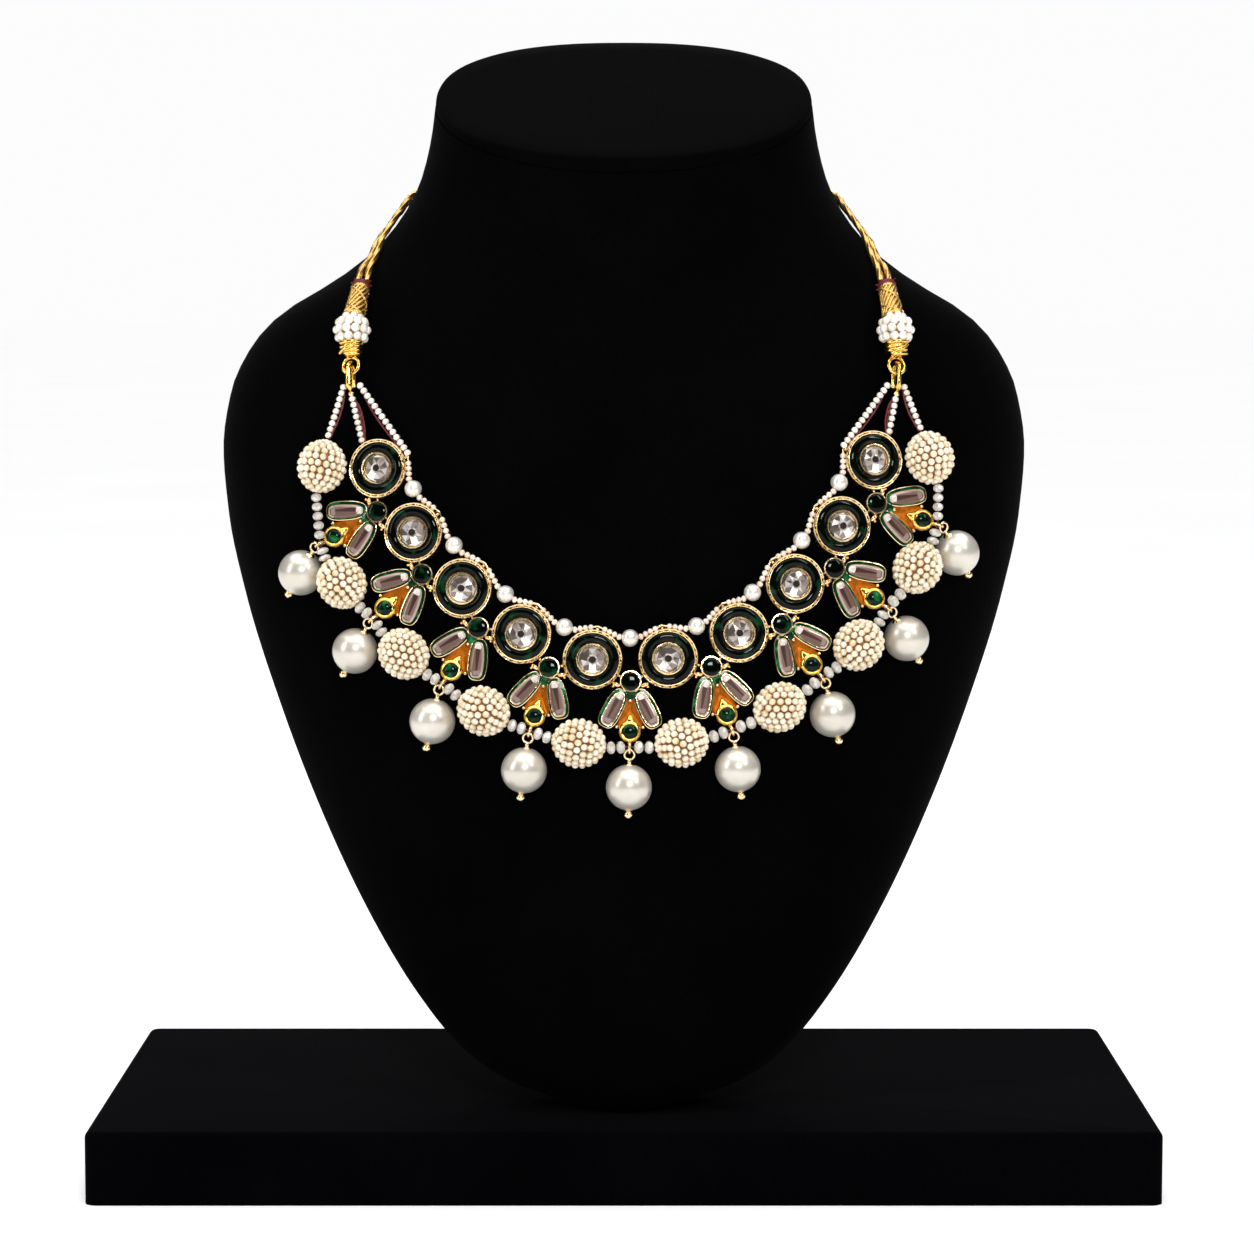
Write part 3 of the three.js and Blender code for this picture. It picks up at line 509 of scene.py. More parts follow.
def satin_plate():
    # Copper-red gold plate, brushed with fine lines about 0.2 mm apart that hold a deep orange shine
    material, tree, shader = surface("brushed_copper_gold", {"Metallic": 1.0, "Roughness": 0.46})
    # Lighter and darker patches about 1 mm across
    tinted(tree, shader, noise(tree, 800, 2), "#5E2406", "#CC7620")
    roughened(tree, shader, noise(tree, 3200, 1), 0.00006)
    return material


def seed_pearl(name, shadow, colour):
    # Cultured seed pearl, tumbled smooth: a creamy body with a soft lustre, each a little lighter or warmer
    material, tree, shader = surface(name, {
        "Roughness": 0.3, "Metallic": 0.22, "IOR": 1.56, "Coat Weight": 0.4, "Coat Roughness": 0.12,
    })
    # Patches of about a bead's 2 mm
    tones = ranged(tree, noise(tree, 430, 1), from_min=0.3, from_max=0.65)
    tinted(tree, shader, tones, shadow, colour)
    return material


def layered_pearl(name, dark, light):
    # Shell pearl, coated with many thin layers: a broad soft highlight in the middle and a darker warm rim
    material, tree, shader = surface(name, {
        "Roughness": 0.33, "Metallic": 0.5, "Coat Weight": 0.6, "Coat Roughness": 0.08,
    })
    tinted(tree, shader, noise(tree, 120, 2), dark, light)
    return material


def cut_crystal():
    # Pressed glass crystal, machine faceted: pale grey and glassy with sharp bright flats
    material, tree, shader = surface("cut_grey_crystal", {
        "Roughness": 0.08, "IOR": 1.58, "Transmission Weight": 0.2, "Coat Weight": 1.0,
        "Coat Roughness": 0.02,
    })
    tinted(tree, shader, noise(tree, 900, 1), "#8A8178", "#FFFAF0")
    return material


def spun_thread(name, dark, light, metallic, roughness):
    # Spun thread: fine strands about 0.15 mm thick twisted together, with the small grooves between them
    # painted dark as shade
    material, tree, shader = surface(name, {"Metallic": metallic, "Roughness": roughness})
    strands = noise(tree, 3000, 2)
    # Painted shade: the colour is darker where the strands' relief is low, in the grooves
    tinted(tree, shader, strands, dark, light)
    roughened(tree, shader, strands, 0.0001)
    return material


BUST_VELVET = velvet("pile_velvet_on_bust", "#010101", "#08080A")
BASE_VELVET = velvet("pile_velvet_on_board", "#010102", "#09090B")
GOLD = polished_gold("burnished_gold_plate", "#FDEAC6", "#EDCD90", 0.2)
BRIGHT_GOLD = polished_gold("bright_yellow_gold", "#F8D67A", "#E4B24C", 0.16)
ENAMEL = fired_enamel("fired_dark_green_enamel", "#010502", "#07331A", 0.04)
LEAF_ENAMEL = fired_enamel("fired_bright_green_enamel", "#04280F", "#17693A", 0.1)
EMERALD = fired_enamel("polished_green_cabochon", "#01140A", "#0C6A30", 0.06)
CLEAR_STONE = foiled_stone("foiled_clear_stone", "#1E1816", "#94877E", "#FFFDFA")
LONG_STONE = foiled_stone("foiled_mauve_stone", "#2A1712", "#80655C", "#F0E6E0")
PLATE = satin_plate()
CREAM_BEAD = seed_pearl("woven_seed_pearl", "#DCC49C", "#F8ECD6")
WHITE_BEAD = seed_pearl("white_seed_pearl", "#DDD2C2", "#FBF7EF")
PINK_BEAD = seed_pearl("pinkish_seed_pearl", "#D8C0AC", "#F4E8DA")
PEARL = layered_pearl("layered_shell_pearl", "#C0B8A9", "#DED8CE")
SMALL_WHITE_PEARL = layered_pearl("small_white_pearl", "#D6CEC4", "#F0ECE6")
CRYSTAL = cut_crystal()
CORE = spun_thread("brown_bead_core_thread", "#74481E", "#B8824A", 0.0, 0.8)
MAROON = spun_thread("maroon_silk_thread", "#3C050B", "#741019", 0.0, 0.5)
ZARI = spun_thread("zari_gold_thread", "#A8741F", "#F4D080", 0.92, 0.3)


def paint(verts, finish, smooth=True):
    """Gives the faces of these points a finish."""
    number = FINISHES.index(finish)
    for face in {face for vert in verts for face in vert.link_faces}:
        face.material_index = number
        face.smooth = smooth


def polar(radius, angle, height=0.0):
    """Place at a radius and an angle about Z."""
    return Vector((radius * math.cos(angle), radius * math.sin(angle), height))


def turned(bm, profile, steps, finish=GOLD, place=Matrix()):
    """Shape turned about Z from (radius, height) points."""
    points = [bm.verts.new((radius, 0, height)) for radius, height in profile]
    edges = [bm.edges.new(pair) for pair in zip(points, points[1:])]
    bmesh.ops.spin(bm, geom=points + edges, axis=(0, 0, 1), cent=(0, 0, 0), angle=math.tau, steps=steps,
                   use_merge=True)
    whole = linked(points[0])
    bmesh.ops.remove_doubles(bm, verts=whole, dist=1e-4)
    whole = linked(next(vert for vert in whole if vert.is_valid))
    paint(whole, finish)
    bmesh.ops.transform(bm, matrix=place, verts=whole)


def linked(start):
    """All points that are joined to one point."""
    found, waiting = {start}, [start]
    while waiting:
        vert = waiting.pop()
        for edge in vert.link_edges:
            other = edge.other_vert(vert)
            if other not in found:
                found.add(other)
                waiting.append(other)
    return list(found)


def wrapped(bm, around, along, corner, finish, closed=False):
    """Sheet of faces wrapped round a form. corner(i, k) gives a point, i round it and k along it."""
    made = bmesh.ops.create_grid(bm, x_segments=around, y_segments=along, size=0.5)["verts"]
    for vert in made:
        i = round((vert.co.x + 0.5) * around) % around
        k = round((vert.co.y + 0.5) * along)
        vert.co = corner(i, k % along if closed else k)
    bmesh.ops.remove_doubles(bm, verts=made, dist=1e-5)
    made = [vert for vert in made if vert.is_valid]
    rims = list({edge for vert in made for edge in vert.link_edges if len(edge.link_faces) == 1})
    if rims:
        bmesh.ops.holes_fill(bm, edges=rims, sides=0)
    paint(made, finish)


def drawn(bm, line, radius, sides, finish, lobes=0, lay=6.0, closed=False):
    """Wire or thread along a line. With lobes it is twisted of that many strands, one turn in each lay."""
    count = len(line)
    rows, side, run = [], None, 0.0
    for k, point in enumerate(line):
        before = line[k - 1] if closed or k else point
        after = line[(k + 1) % count] if closed or k + 1 < count else point
        along = (after - before).normalized()
        side = side or along.orthogonal()
        side = (side - along * side.dot(along)).normalized()
        run += (point - line[k - 1]).length if k else 0.0
        rows.append((point, side, along.cross(side), run))

    def corner(i, k):
        point, right, up, reach = rows[k]
        turn = math.tau * i / sides
        grow = 0.84 + 0.16 * math.cos(lobes * turn - math.tau * reach / lay) if lobes else 1
        return point + (right * math.cos(turn) + up * math.sin(turn)) * radius * grow

    wrapped(bm, sides, count if closed else count - 1, corner, finish, closed)


def bead(bm, place, width, length=None, finish=GOLD, sides=8, rings=6, smooth=True):
    """Bead with its hole along the place's Z."""
    size = Matrix.Diagonal((width / 2, width / 2, (length or width) / 2, 1))
    made = bmesh.ops.create_uvsphere(bm, u_segments=sides, v_segments=rings, radius=1, matrix=place @ size)
    paint(made["verts"], finish, smooth)
    return made["verts"]


def ring(bm, radius, wire, place, finish=GOLD, around=20, sides=8):
    """Round wire ring about the place's Z."""
    circle = [place @ polar(radius, math.tau * k / around) for k in range(around)]
    drawn(bm, circle, wire, sides, finish, closed=True)


def raised(bm, floor, height):
    """Raises a flat face into a plate and gives back its top, which faces up, and the top's points."""
    made = bmesh.ops.extrude_face_region(bm, geom=[floor], use_keep_orig=True)["geom"]
    points = [item for item in made if isinstance(item, bmesh.types.BMVert)]
    bmesh.ops.translate(bm, vec=(0, 0, height), verts=points)
    top = next(item for item in made if isinstance(item, bmesh.types.BMFace))
    bm.normal_update()
    if top.normal.z < 0:
        top.normal_flip()
    return top, points


def stepped(bm, top, inset, rise):
    """Insets a flat top and moves it up or down. Gives back the faces round it."""
    band = bmesh.ops.inset_region(bm, faces=[top], thickness=inset, depth=rise, use_even_offset=True)
    return band["faces"]


def rounded(bm, edges, radius, segments):
    bmesh.ops.bevel(bm, geom=edges, offset=radius, affect="EDGES", segments=segments, profile=0.5,
                    material=-1)


def shape_of(bm, name, sharp):
    """Mesh of a finished form, in millimetres, crisp at its corners and where one finish meets another."""
    bmesh.ops.recalc_face_normals(bm, faces=bm.faces)
    for edge in bm.edges:
        numbers = {face.material_index for face in edge.link_faces}
        edge.smooth = len(numbers) == 1 and edge.calc_face_angle(0) < math.radians(sharp)
    used = sorted({face.material_index for face in bm.faces})
    for face in bm.faces:
        face.material_index = used.index(face.material_index)
    mesh = bpy.data.meshes.new(name)
    bm.to_mesh(mesh)
    bm.free()
    for number in used:
        mesh.materials.append(FINISHES[number])
    return mesh


def set_down(name, mesh, nodes=(), place=Matrix(), copy=False):
    """Puts a form in its place, in metres, riding on the one body and standing for its solids."""
    if copy:
        mesh = mesh.copy()
        mesh.name = name
    mesh.transform(Matrix.Scale(MM, 4) @ place)
    made = bpy.data.objects.new(name, mesh)
    bpy.context.scene.collection.objects.link(made)
    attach(made, "root")
    if nodes:
        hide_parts(*nodes)
    return made


def make_camera():
    data = bpy.data.cameras.new("camera")
    data.lens = CAMERA_LENS
    data.sensor_width = 36
    data.clip_end = 20
    camera = bpy.data.objects.new("camera", data)
    camera.location = Vector(CAMERA_PLACE) * MM
    camera.rotation_euler = (math.radians(90 - CAMERA_PITCH), 0, 0)
    bpy.context.scene.collection.objects.link(camera)
    bpy.context.scene.camera = camera


def make_cords():
    """Two twisted gold cords that pass round the back of the neck."""
    for name, half in CORD_ROUTES.items():
        left = []
        for x, y, z in half:
            inward = Vector((-x, 8 - y, 0)).normalized() * (GAP if z > 210 else 0)
            left.append(Vector((x, y, FOOT + z)) + inward)
        route = left + [Vector((-p.x, p.y, p.z)) for p in reversed(left[:-1])]
        line = smooth_line(route, 12)
        bm = bmesh.new()
        drawn(bm, line, CORD_DIAMETER / 2, 14, ZARI, lobes=4)
        twisted = shape_of(bm, "zari_cord", 80)
        cord = set_down(f"zari_cord_{name}", twisted, [f"dori_cord_{name}"])
        length = sum((b - a).length for a, b in zip(line, line[1:]))


def make_bust():
    """Velvet bust with its slanted cap and the cap's seam."""
    around = 112
    seam = CAP_SEAM_DEPTH / BUST_HEIGHT
    levels = [(k / 76) ** 1.25 for k in range(75)]
    levels = [(up, 0.0) for up in levels if up < 1 - 2.2 * seam]
    levels += [(1 - 1.6 * seam, 0.0), (1 - 1.25 * seam, 0.05), (1 - seam, 0.7), (1 - 0.8 * seam, 0.1),
               (1 - 0.5 * seam, 0.0), (1 - 0.2 * seam, 0.25), (1.0, 1.1), (1.0, 6.0)]

    def corner(i, k):
        up, shrink = levels[k]
        half = section(WIDE, up) * BUST_WIDTH / 2 - shrink
        side = section(SIDE, up) * BUST_DEPTH
        front = section(FRONT, up) * BUST_DEPTH + shrink
        back = section(BACK, up) * BUST_DEPTH - shrink
        lean = max(up - SLANT_START, 0) / (1 - SLANT_START) * math.tan(CAP_SLANT)
        turn = math.tau * i / around
        cosine, sine = math.cos(turn), math.sin(turn)
        # The cap's edge shows as a band at the front
        drop = CAP_BAND * max(-sine, 0) ** 1.5 if 1 - 2 * seam < up < 1 - 0.6 * seam else 0
        power = 2 / (FRONT_ROUNDNESS if sine < 0 else BACK_ROUNDNESS)
        x = half * math.copysign(abs(cosine) ** power, cosine)
        reach = side - front if sine < 0 else back - side
        y = side + reach * math.copysign(abs(sine) ** power, sine)
        return Vector((x, y, FOOT + up * BUST_HEIGHT + lean * (y - side) - drop))

    bm = bmesh.new()
    wrapped(bm, around, len(levels) - 1, corner, BUST_VELVET)
    set_down("velvet_bust", shape_of(bm, "velvet_bust", 70), ["bust"])


def make_base():
    """Velvet-covered board with rounded corners and edges."""
    bm = bmesh.new()
    width, depth, height = BASE_SIZE
    board = Matrix.Translation((0, 0, height / 2)) @ Matrix.Diagonal((width, depth, height, 1))
    bmesh.ops.create_cube(bm, size=1, matrix=board)
    upright = [edge for edge in bm.edges if abs(edge.verts[0].co.z - edge.verts[1].co.z) > 1]
    rounded(bm, upright, BASE_CORNER, 6)
    top = [edge for edge in bm.edges if min(vert.co.z for vert in edge.verts) > height - 0.1]
    rounded(bm, top, BASE_EDGE, 5)
    paint(bm.verts, BASE_VELVET)
    set_down("velvet_base", shape_of(bm, "velvet_base", 40), ["base"])


def medallion_form():
    """Gold setting with a chased rim, a domed enamel channel and a collet."""
    bm = bmesh.new()
    turned(bm, [
        (0, 0), (7.15, 0), (7.38, 0.25), (7.4, 2.5), (7.35, 2.85), (7.2, 3.05), (7.03, 2.98), (6.95, 2.7),
        (6.78, 2.7), (6.72, 2.95), (6.6, 3.05), (6.48, 2.95), (6.42, 2.2), (4.1, 2.2), (4.08, 3.1),
        (3.95, 3.38), (3.7, 3.4), (3.52, 3.2), (3.46, SEAT_HEIGHT - 0.05), (0, SEAT_HEIGHT - 0.05),
    ], 56)
    turned(bm, [
        (6.5, 2.25), (6.46, 2.62), (6.2, 2.85), (5.75, 3.06), (5.25, 3.12), (4.75, 3.04), (4.35, 2.82),
        (4.1, 2.55), (4.1, 2.25), (6.5, 2.25),
    ], 56, ENAMEL)
    # A ring of the dark enamel finish lies in the groove as painted shade, showing between the gold bars as
    # the dark chased cuts
    turned(bm, [(6.94, 2.6), (6.94, 2.76), (6.79, 2.76), (6.79, 2.6), (6.94, 2.6)], 56, ENAMEL)
    # Short gold bars left standing between the chased cuts
    for k in range(24):
        bar = Matrix.Translation((6.87, 0, 2.72)) @ Matrix.Rotation(math.pi / 2, 4, "X")
        turn = Matrix.Rotation(math.tau * k / 24, 4, "Z")
        bead(bm, turn @ bar, 0.28, 1.4 + 0.25 * (k % 3 - 1), sides=6, rings=4)
    return shape_of(bm, "medallion_form", 42)


def round_stone_form(seed):
    """Round stone: wedge facets about a small table, with painted light and shade: a dark table and one facet
    at its lower side painted bright as a highlight.
    """
    bm = bmesh.new()
    facet_light = bm.faces.layers.float.new("facet")
    chance = random.Random(seed)
    bmesh.ops.create_cone(bm, cap_ends=True, segments=10, radius1=3.4, radius2=3.36, depth=0.3)
    bmesh.ops.translate(bm, vec=(0, 0, 0.15), verts=bm.verts)
    table = max(bm.faces, key=lambda face: face.calc_center_median().z)
    for inset, rise, turn in ((0.55, 0.3, 18), (1.4, 0.42, 18), (0.4, 0.06, 0)):
        stepped(bm, table, inset, rise)
        twist = Matrix.Rotation(math.radians(turn), 3, "Z")
        bmesh.ops.rotate(bm, verts=table.verts, cent=(0, 0, 0), matrix=twist)
    crown = [face for face in bm.faces if len(face.verts) == 4 and face.calc_center_median().z > 0.32]
    bmesh.ops.triangulate(bm, faces=crown)
    paint(bm.verts, CLEAR_STONE, False)
    # Painted light and shade on the facets: a dark table, a paler ring round it, a painted highlight low
    # down, a dark facet at the left and mixed tones elsewhere
    for face in bm.faces:
        middle = face.calc_center_median()
        reach, bearing = math.hypot(middle.x, middle.y), math.degrees(math.atan2(middle.y, middle.x))
        if reach < 0.1:
            face[facet_light] = 0.03
        elif reach < 1.6:
            face[facet_light] = chance.choice([0.4, 0.55, 0.7])
        elif abs(bearing + 97) < 26:
            face[facet_light] = 1.0
        elif abs(bearing - 165) < 22:
            face[facet_light] = 0.12
        else:
            face[facet_light] = chance.choice([0.15, 0.3, 0.38, 0.46, 0.55, 0.68])
    return shape_of(bm, "round_stone_form", 5)


def petal_setting(bm, facet_light, side):
    """Long stone in its bezel, from one petal outline: gold wall, enamel band, thin gold line and facets."""
    made = bmesh.ops.create_circle(bm, cap_ends=True, segments=32, radius=1)["verts"]
    for vert in made:
        cosine, sine = vert.co.x, vert.co.y
        vert.co = Vector((LEAF_WIDTH / 2 * math.copysign(abs(cosine) ** 0.66, cosine) * (0.92 - 0.1 * sine),
                          LEAF_LENGTH / 2 * math.copysign(abs(sine) ** 0.76, sine), 0))
    top, edge = raised(bm, made[0].link_faces[0], BEZEL_HEIGHT)
    paint(made + edge, GOLD)
    # Inset, rise, finish and the shift that makes the enamel wider on the outer side and at the top
    bands = [
        (0.14, 0.05, GOLD, 0), (0.06, -0.1, GOLD, 0), (0.42, 0.06, LEAF_ENAMEL, 0.15), (0.05, 0.14, GOLD, 0),
        (0.09, 0.0, GOLD, 0), (0.05, -0.08, GOLD, 0),
    ]
    for inset, rise, finish, shift in bands:
        for face in stepped(bm, top, inset, rise):
            face.material_index = FINISHES.index(finish)
            face.smooth = True
        bmesh.ops.translate(bm, verts=top.verts, vec=(-side * shift, -shift * 0.9, 0))
    # Two rows of facets, painted lighter at the stone's ends and on its outer side as highlights
    top.material_index = FINISHES.index(LONG_STONE)
    for face in stepped(bm, top, 0.34, 0.3):
        middle = face.calc_center_median()
        face.smooth = False
        face[facet_light] = 0.76 if abs(middle.y) > 3.3 else (0.66 if middle.x * side > 0 else 0.42)
    for face in stepped(bm, top, 0.26, 0.1):
        middle = face.calc_center_median()
        face.smooth = False
        face[facet_light] = 0.92 if middle.y > 2.8 else (0.56 if middle.x * side > 0.2 else 0.24)
    # The facets cut under the flat table are painted as darker and lighter strips of shade and reflection,
    # with painted highlights near the ends
    strips = [top]
    level = Vector((0, 0, top.calc_center_median().z))
    for distance, turn in ((-0.5, 5), (0.3, -4), (2.55, 84), (-2.75, 97)):
        cut = Matrix.Rotation(math.radians(turn), 3, "Z") @ Vector((1, 0, 0))
        pieces = {item for face in strips for item in (face, *face.edges, *face.verts)}
        parted = bmesh.ops.bisect_plane(bm, geom=list(pieces), dist=1e-4, plane_co=level + cut * distance,
                                        plane_no=cut)
        strips = [item for item in parted["geom"] if isinstance(item, bmesh.types.BMFace)]
    for face in strips:
        middle = face.calc_center_median()
        face.smooth = False
        face[facet_light] = 0.5 if middle.x * side > 0.3 else (0.11 if middle.x * side > -0.5 else 0.38)
        if abs(middle.y) > 2.6:
            face[facet_light] = 0.9 if middle.x * side > -0.3 and middle.y > 0 else 0.58
    place = Vector((side * LEAF_REACH * math.sin(LEAF_BEARING), -LEAF_REACH * math.cos(LEAF_BEARING), 0.15))
    bmesh.ops.transform(bm, verts=linked(made[0]),
                        matrix=Matrix.Translation(place) @ Matrix.Rotation(side * LEAF_SPREAD, 4, "Z"))


def leaf_form():
    """Dark cabochon, two long stones, the plate between them, the cup with its own cabochon and the loop."""
    bm = bmesh.new()
    facet_light = bm.faces.layers.float.new("facet")
    radius = DARK_DIAMETER / 2
    turned(bm, [(0, 0), (radius, 0), (radius + 0.05, 0.3), (radius + 0.02, 2.46), (radius - 0.03, 2.6),
                (radius - 0.32, 2.62), (radius - 0.36, 2.52), (radius - 0.38, 2.1), (0, 2.1)], 32)
    turned(bm, [
        (radius - 0.36, 2.05), (radius - 0.37, 2.3), (2.05, 2.42), (1.6, 2.55), (1.0, 2.64), (0, 2.67),
    ], 32, ENAMEL)
    for side in (-1, 1):
        # Small gold tabs beside the cabochon, which carry the motif between two medallions
        tab = Matrix.Translation((side * 3.45, -0.75, 1.1)) @ Matrix.Rotation(side * math.radians(24), 4, "Z")
        bead(bm, tab @ Matrix.Rotation(math.pi / 2, 4, "Y"), 1.25, 2.3, GOLD, 12, 8)
        bead(bm, Matrix.Translation((side * 4.25, -1.2, 1.35)), 0.8, None, BRIGHT_GOLD, 10, 6)
        bead(bm, Matrix.Translation((side * 2.75, 1.35, 1.2)), 0.75, None, GOLD, 10, 6)
        petal_setting(bm, facet_light, side)
        bead(bm, Matrix.Translation((side * 3.2, -11.15, 1.6)), 0.95, None, GOLD, 10, 6)
    # Enamel between the heads of the two long stones, with a gold bead at its point
    wedge = [(-1.7, -2.55), (-1.2, -3.4), (-0.3, -4.7), (0.3, -4.7), (1.2, -3.4), (1.7, -2.55)]
    outline = [(-2.0, -1.5), (-1.2, -4.5), (-3.3, -11.3), (3.3, -11.3), (1.2, -4.5), (2.0, -1.5)]
    plates = [(outline, 0.1, 1.35, PLATE, -0.35), (wedge, 1.0, 1.3, LEAF_ENAMEL, 0.2)]
    for points, level, thickness, finish, crown in plates:
        corners = [bm.verts.new((x, y, level)) for x, y in points]
        top, edge = raised(bm, bm.faces.new(corners), thickness)
        paint(corners + edge, finish, False)
        stepped(bm, top, 0.16, 0.06)
        stepped(bm, top, 0.12, -0.1)
        bmesh.ops.poke(bm, faces=[top], offset=crown)
    bead(bm, Matrix.Translation((0, -4.75, 2.35)), 0.85, None, GOLD, 10, 8)
    # Cup: a drawn-up gold drop behind a thick round bezel with its own cabochon
    cup = Matrix.Translation((0, -CUP_REACH - 0.3, 0))
    drop = bead(bm, Matrix.Translation((0, -CUP_REACH + 1.5, 1.85)), 3.3, 2.3, BRIGHT_GOLD, 20, 14)
    for vert in drop:
        rise = (vert.co.y + CUP_REACH - 1.5) / 1.65
        if rise > 0:
            vert.co.y += 0.9 * rise ** 2
            vert.co.x *= 1 - 0.5 * rise ** 1.6
    turned(bm, [(0, 0.3), (2.4, 0.3), (2.78, 0.9), (2.86, 1.8), (2.74, 2.5), (2.45, 2.95), (2.1, 3.1),
                (1.88, 3.0), (1.82, 2.6), (0, 2.6)], 32, BRIGHT_GOLD, cup)
    cabochon = [(1.86, 2.55), (1.86, 2.92), (1.6, 3.22), (1.1, 3.45), (0.55, 3.56), (0, 3.6)]
    turned(bm, cabochon, 28, EMERALD, cup)
    shank = Matrix.Translation((0, LOOP_RADIUS - LOOP_REACH - 0.35, LOOP_LEVEL - 0.1))
    bead(bm, shank, 1.15, None, BRIGHT_GOLD, 12, 8)
    loop = Matrix.Translation((0, 0.1 - LOOP_REACH, LOOP_LEVEL)) @ Matrix.Rotation(math.pi / 2, 4, "Y")
    ring(bm, LOOP_RADIUS - 0.25, LOOP_WIRE, loop)
    return shape_of(bm, "leaf_form", 42)


def drop_form():
    """Pearl on a jump ring, with a small cap above it and a collar and drilled ball below."""
    bm = bmesh.new()
    ring(bm, 1.2, 0.3, Matrix(), GOLD, 24, 10)
    upright = Matrix.Translation((0, -DROP_REACH, 0)) @ Matrix.Rotation(-math.pi / 2, 4, "X")
    bead(bm, upright, DROP_DIAMETER, None, PEARL, 48, 32)
    half = DROP_DIAMETER / 2
    cap = [
        (0, 1.2), (0.4, 1.15), (0.55, 0.7), (0.5, 0.35), (1.05, 0.1), (1.2, -0.15), (1.05, -0.3), (0, -0.3),
    ]
    turned(bm, [(radius, half + height) for radius, height in cap], 20, GOLD, upright)
    collar = [
        (0, 0.3), (1.0, 0.25), (1.15, 0.05), (0.85, -0.15), (0.6, -0.3), (0.85, -0.5), (1.1, -0.9),
        (1.12, -1.2), (0.95, -1.7), (0.62, -2.02), (0.38, -2.08), (0.34, -1.7), (0, -1.7),
    ]
    turned(bm, [(radius, height - half) for radius, height in collar], 24, GOLD, upright)
    return shape_of(bm, "drop_form", 45)


def woven_ball_form():
    """Ball of seed pearls sewn in offset rows round a core of thread."""
    bm = bmesh.new()
    rows, seed, seed_step, core_inset = 11, 1.6, 1.92, 2.8
    wide, long_half = (BALL_DIAMETER - seed) / 2, (BALL_LENGTH - seed) / 2
    bead(bm, Matrix(), BALL_DIAMETER - core_inset, BALL_LENGTH - core_inset, CORE, 20, 12)
    chance = random.Random(21)
    for k in range(rows):
        turn = math.pi * ((k + 0.5) / rows - 0.5)
        radius, height = wide * math.cos(turn), long_half * math.sin(turn)
        count = max(round(math.tau * radius / seed_step), 4)
        for i in range(count):
            angle = math.tau * (i + 0.5 * (k % 2) + chance.uniform(-0.06, 0.06)) / count
            out = polar(math.cos(turn), angle, math.sin(turn))
            around = Vector((-math.sin(angle), math.cos(angle), 0))
            place = frame_of(polar(radius, angle, height), around, out)
            bead(bm, place, chance.uniform(1.72, 1.84), 1.66, CREAM_BEAD, 10, 7)
    return shape_of(bm, "woven_ball_form", 60)


def beads_between(bm, start, end, width, length, finish, sides=8, rings=6, smooth=True):
    """Row of touching beads from one place to another."""
    run = end - start
    count = max(round(run.length / length), 1)
    for k in range(count):
        place = frame_along(start + run * (k + 0.5) / count, run)
        bead(bm, place, width, run.length / count * 0.98, finish, sides, rings, smooth)


def silk_beside(bm, start, end, side, bows, share=1 / 3, radius=0.28, lay=2.5):
    """Twisted silk beside a strand, bowed away from it by four distances. Gives back the way it bows."""
    out = (end - start).cross(bust_normal(start.x, start.z)).normalized() * side
    line = [start.lerp(end, reach) + out * bow for reach, bow in zip((0, share, 1 - share, 1), bows)]
    drawn(bm, smooth_line(line, 5), radius, 6, MAROON, lobes=2, lay=lay)
    return out


def ball_end(place, way):
    centre, axis = place
    return centre + axis * way * (BALL_LENGTH / 2 + GAP)


def make_outer_string():
    """Seed strands from both hooks, and crystals and thread through the balls and loops."""
    bm = bmesh.new()
    for side, place, way in ((-1, BALLS[0], -1), (1, BALLS[-1], 1)):
        start, end = strand_start(side, -1), ball_end(place, way)
        beads_between(bm, start, end, SEED, SEED_STEP, WHITE_BEAD)
        drawn(bm, [start, end], STRAND_THREAD, 6, MAROON)
        # A length of the silk lies beside the beads, on the side away from the neck
        silk_beside(bm, start, end, side, (0.2, 1.25, 1.35, 0.6))
    for i, (_, _, loop, _) in enumerate(MOTIFS):
        line = [ball_end(BALLS[i], 1), loop, ball_end(BALLS[i + 1], -1)]
        drawn(bm, smooth_line(line, 4), STRING_THREAD, 6, MAROON)
        for end, outermost in ((line[0], i == 0), (line[2], i == LEAF_COUNT - 1)):
            way = (loop - end).normalized()
            reach = (loop - end).length - LOOP_CLEARANCE
            width = END_CRYSTAL_WIDTH if outermost else CRYSTAL_WIDTH
            length = min(CRYSTAL_LENGTH, (reach + CRYSTAL_TUCK) / 2)
            tucked = end - way * CRYSTAL_TUCK
            beads_between(bm, tucked, end + way * reach, width, length, CRYSTAL, 10, 6, False)
    set_down("outer_string_beads", shape_of(bm, "outer_string", 60), ["outer_string"])


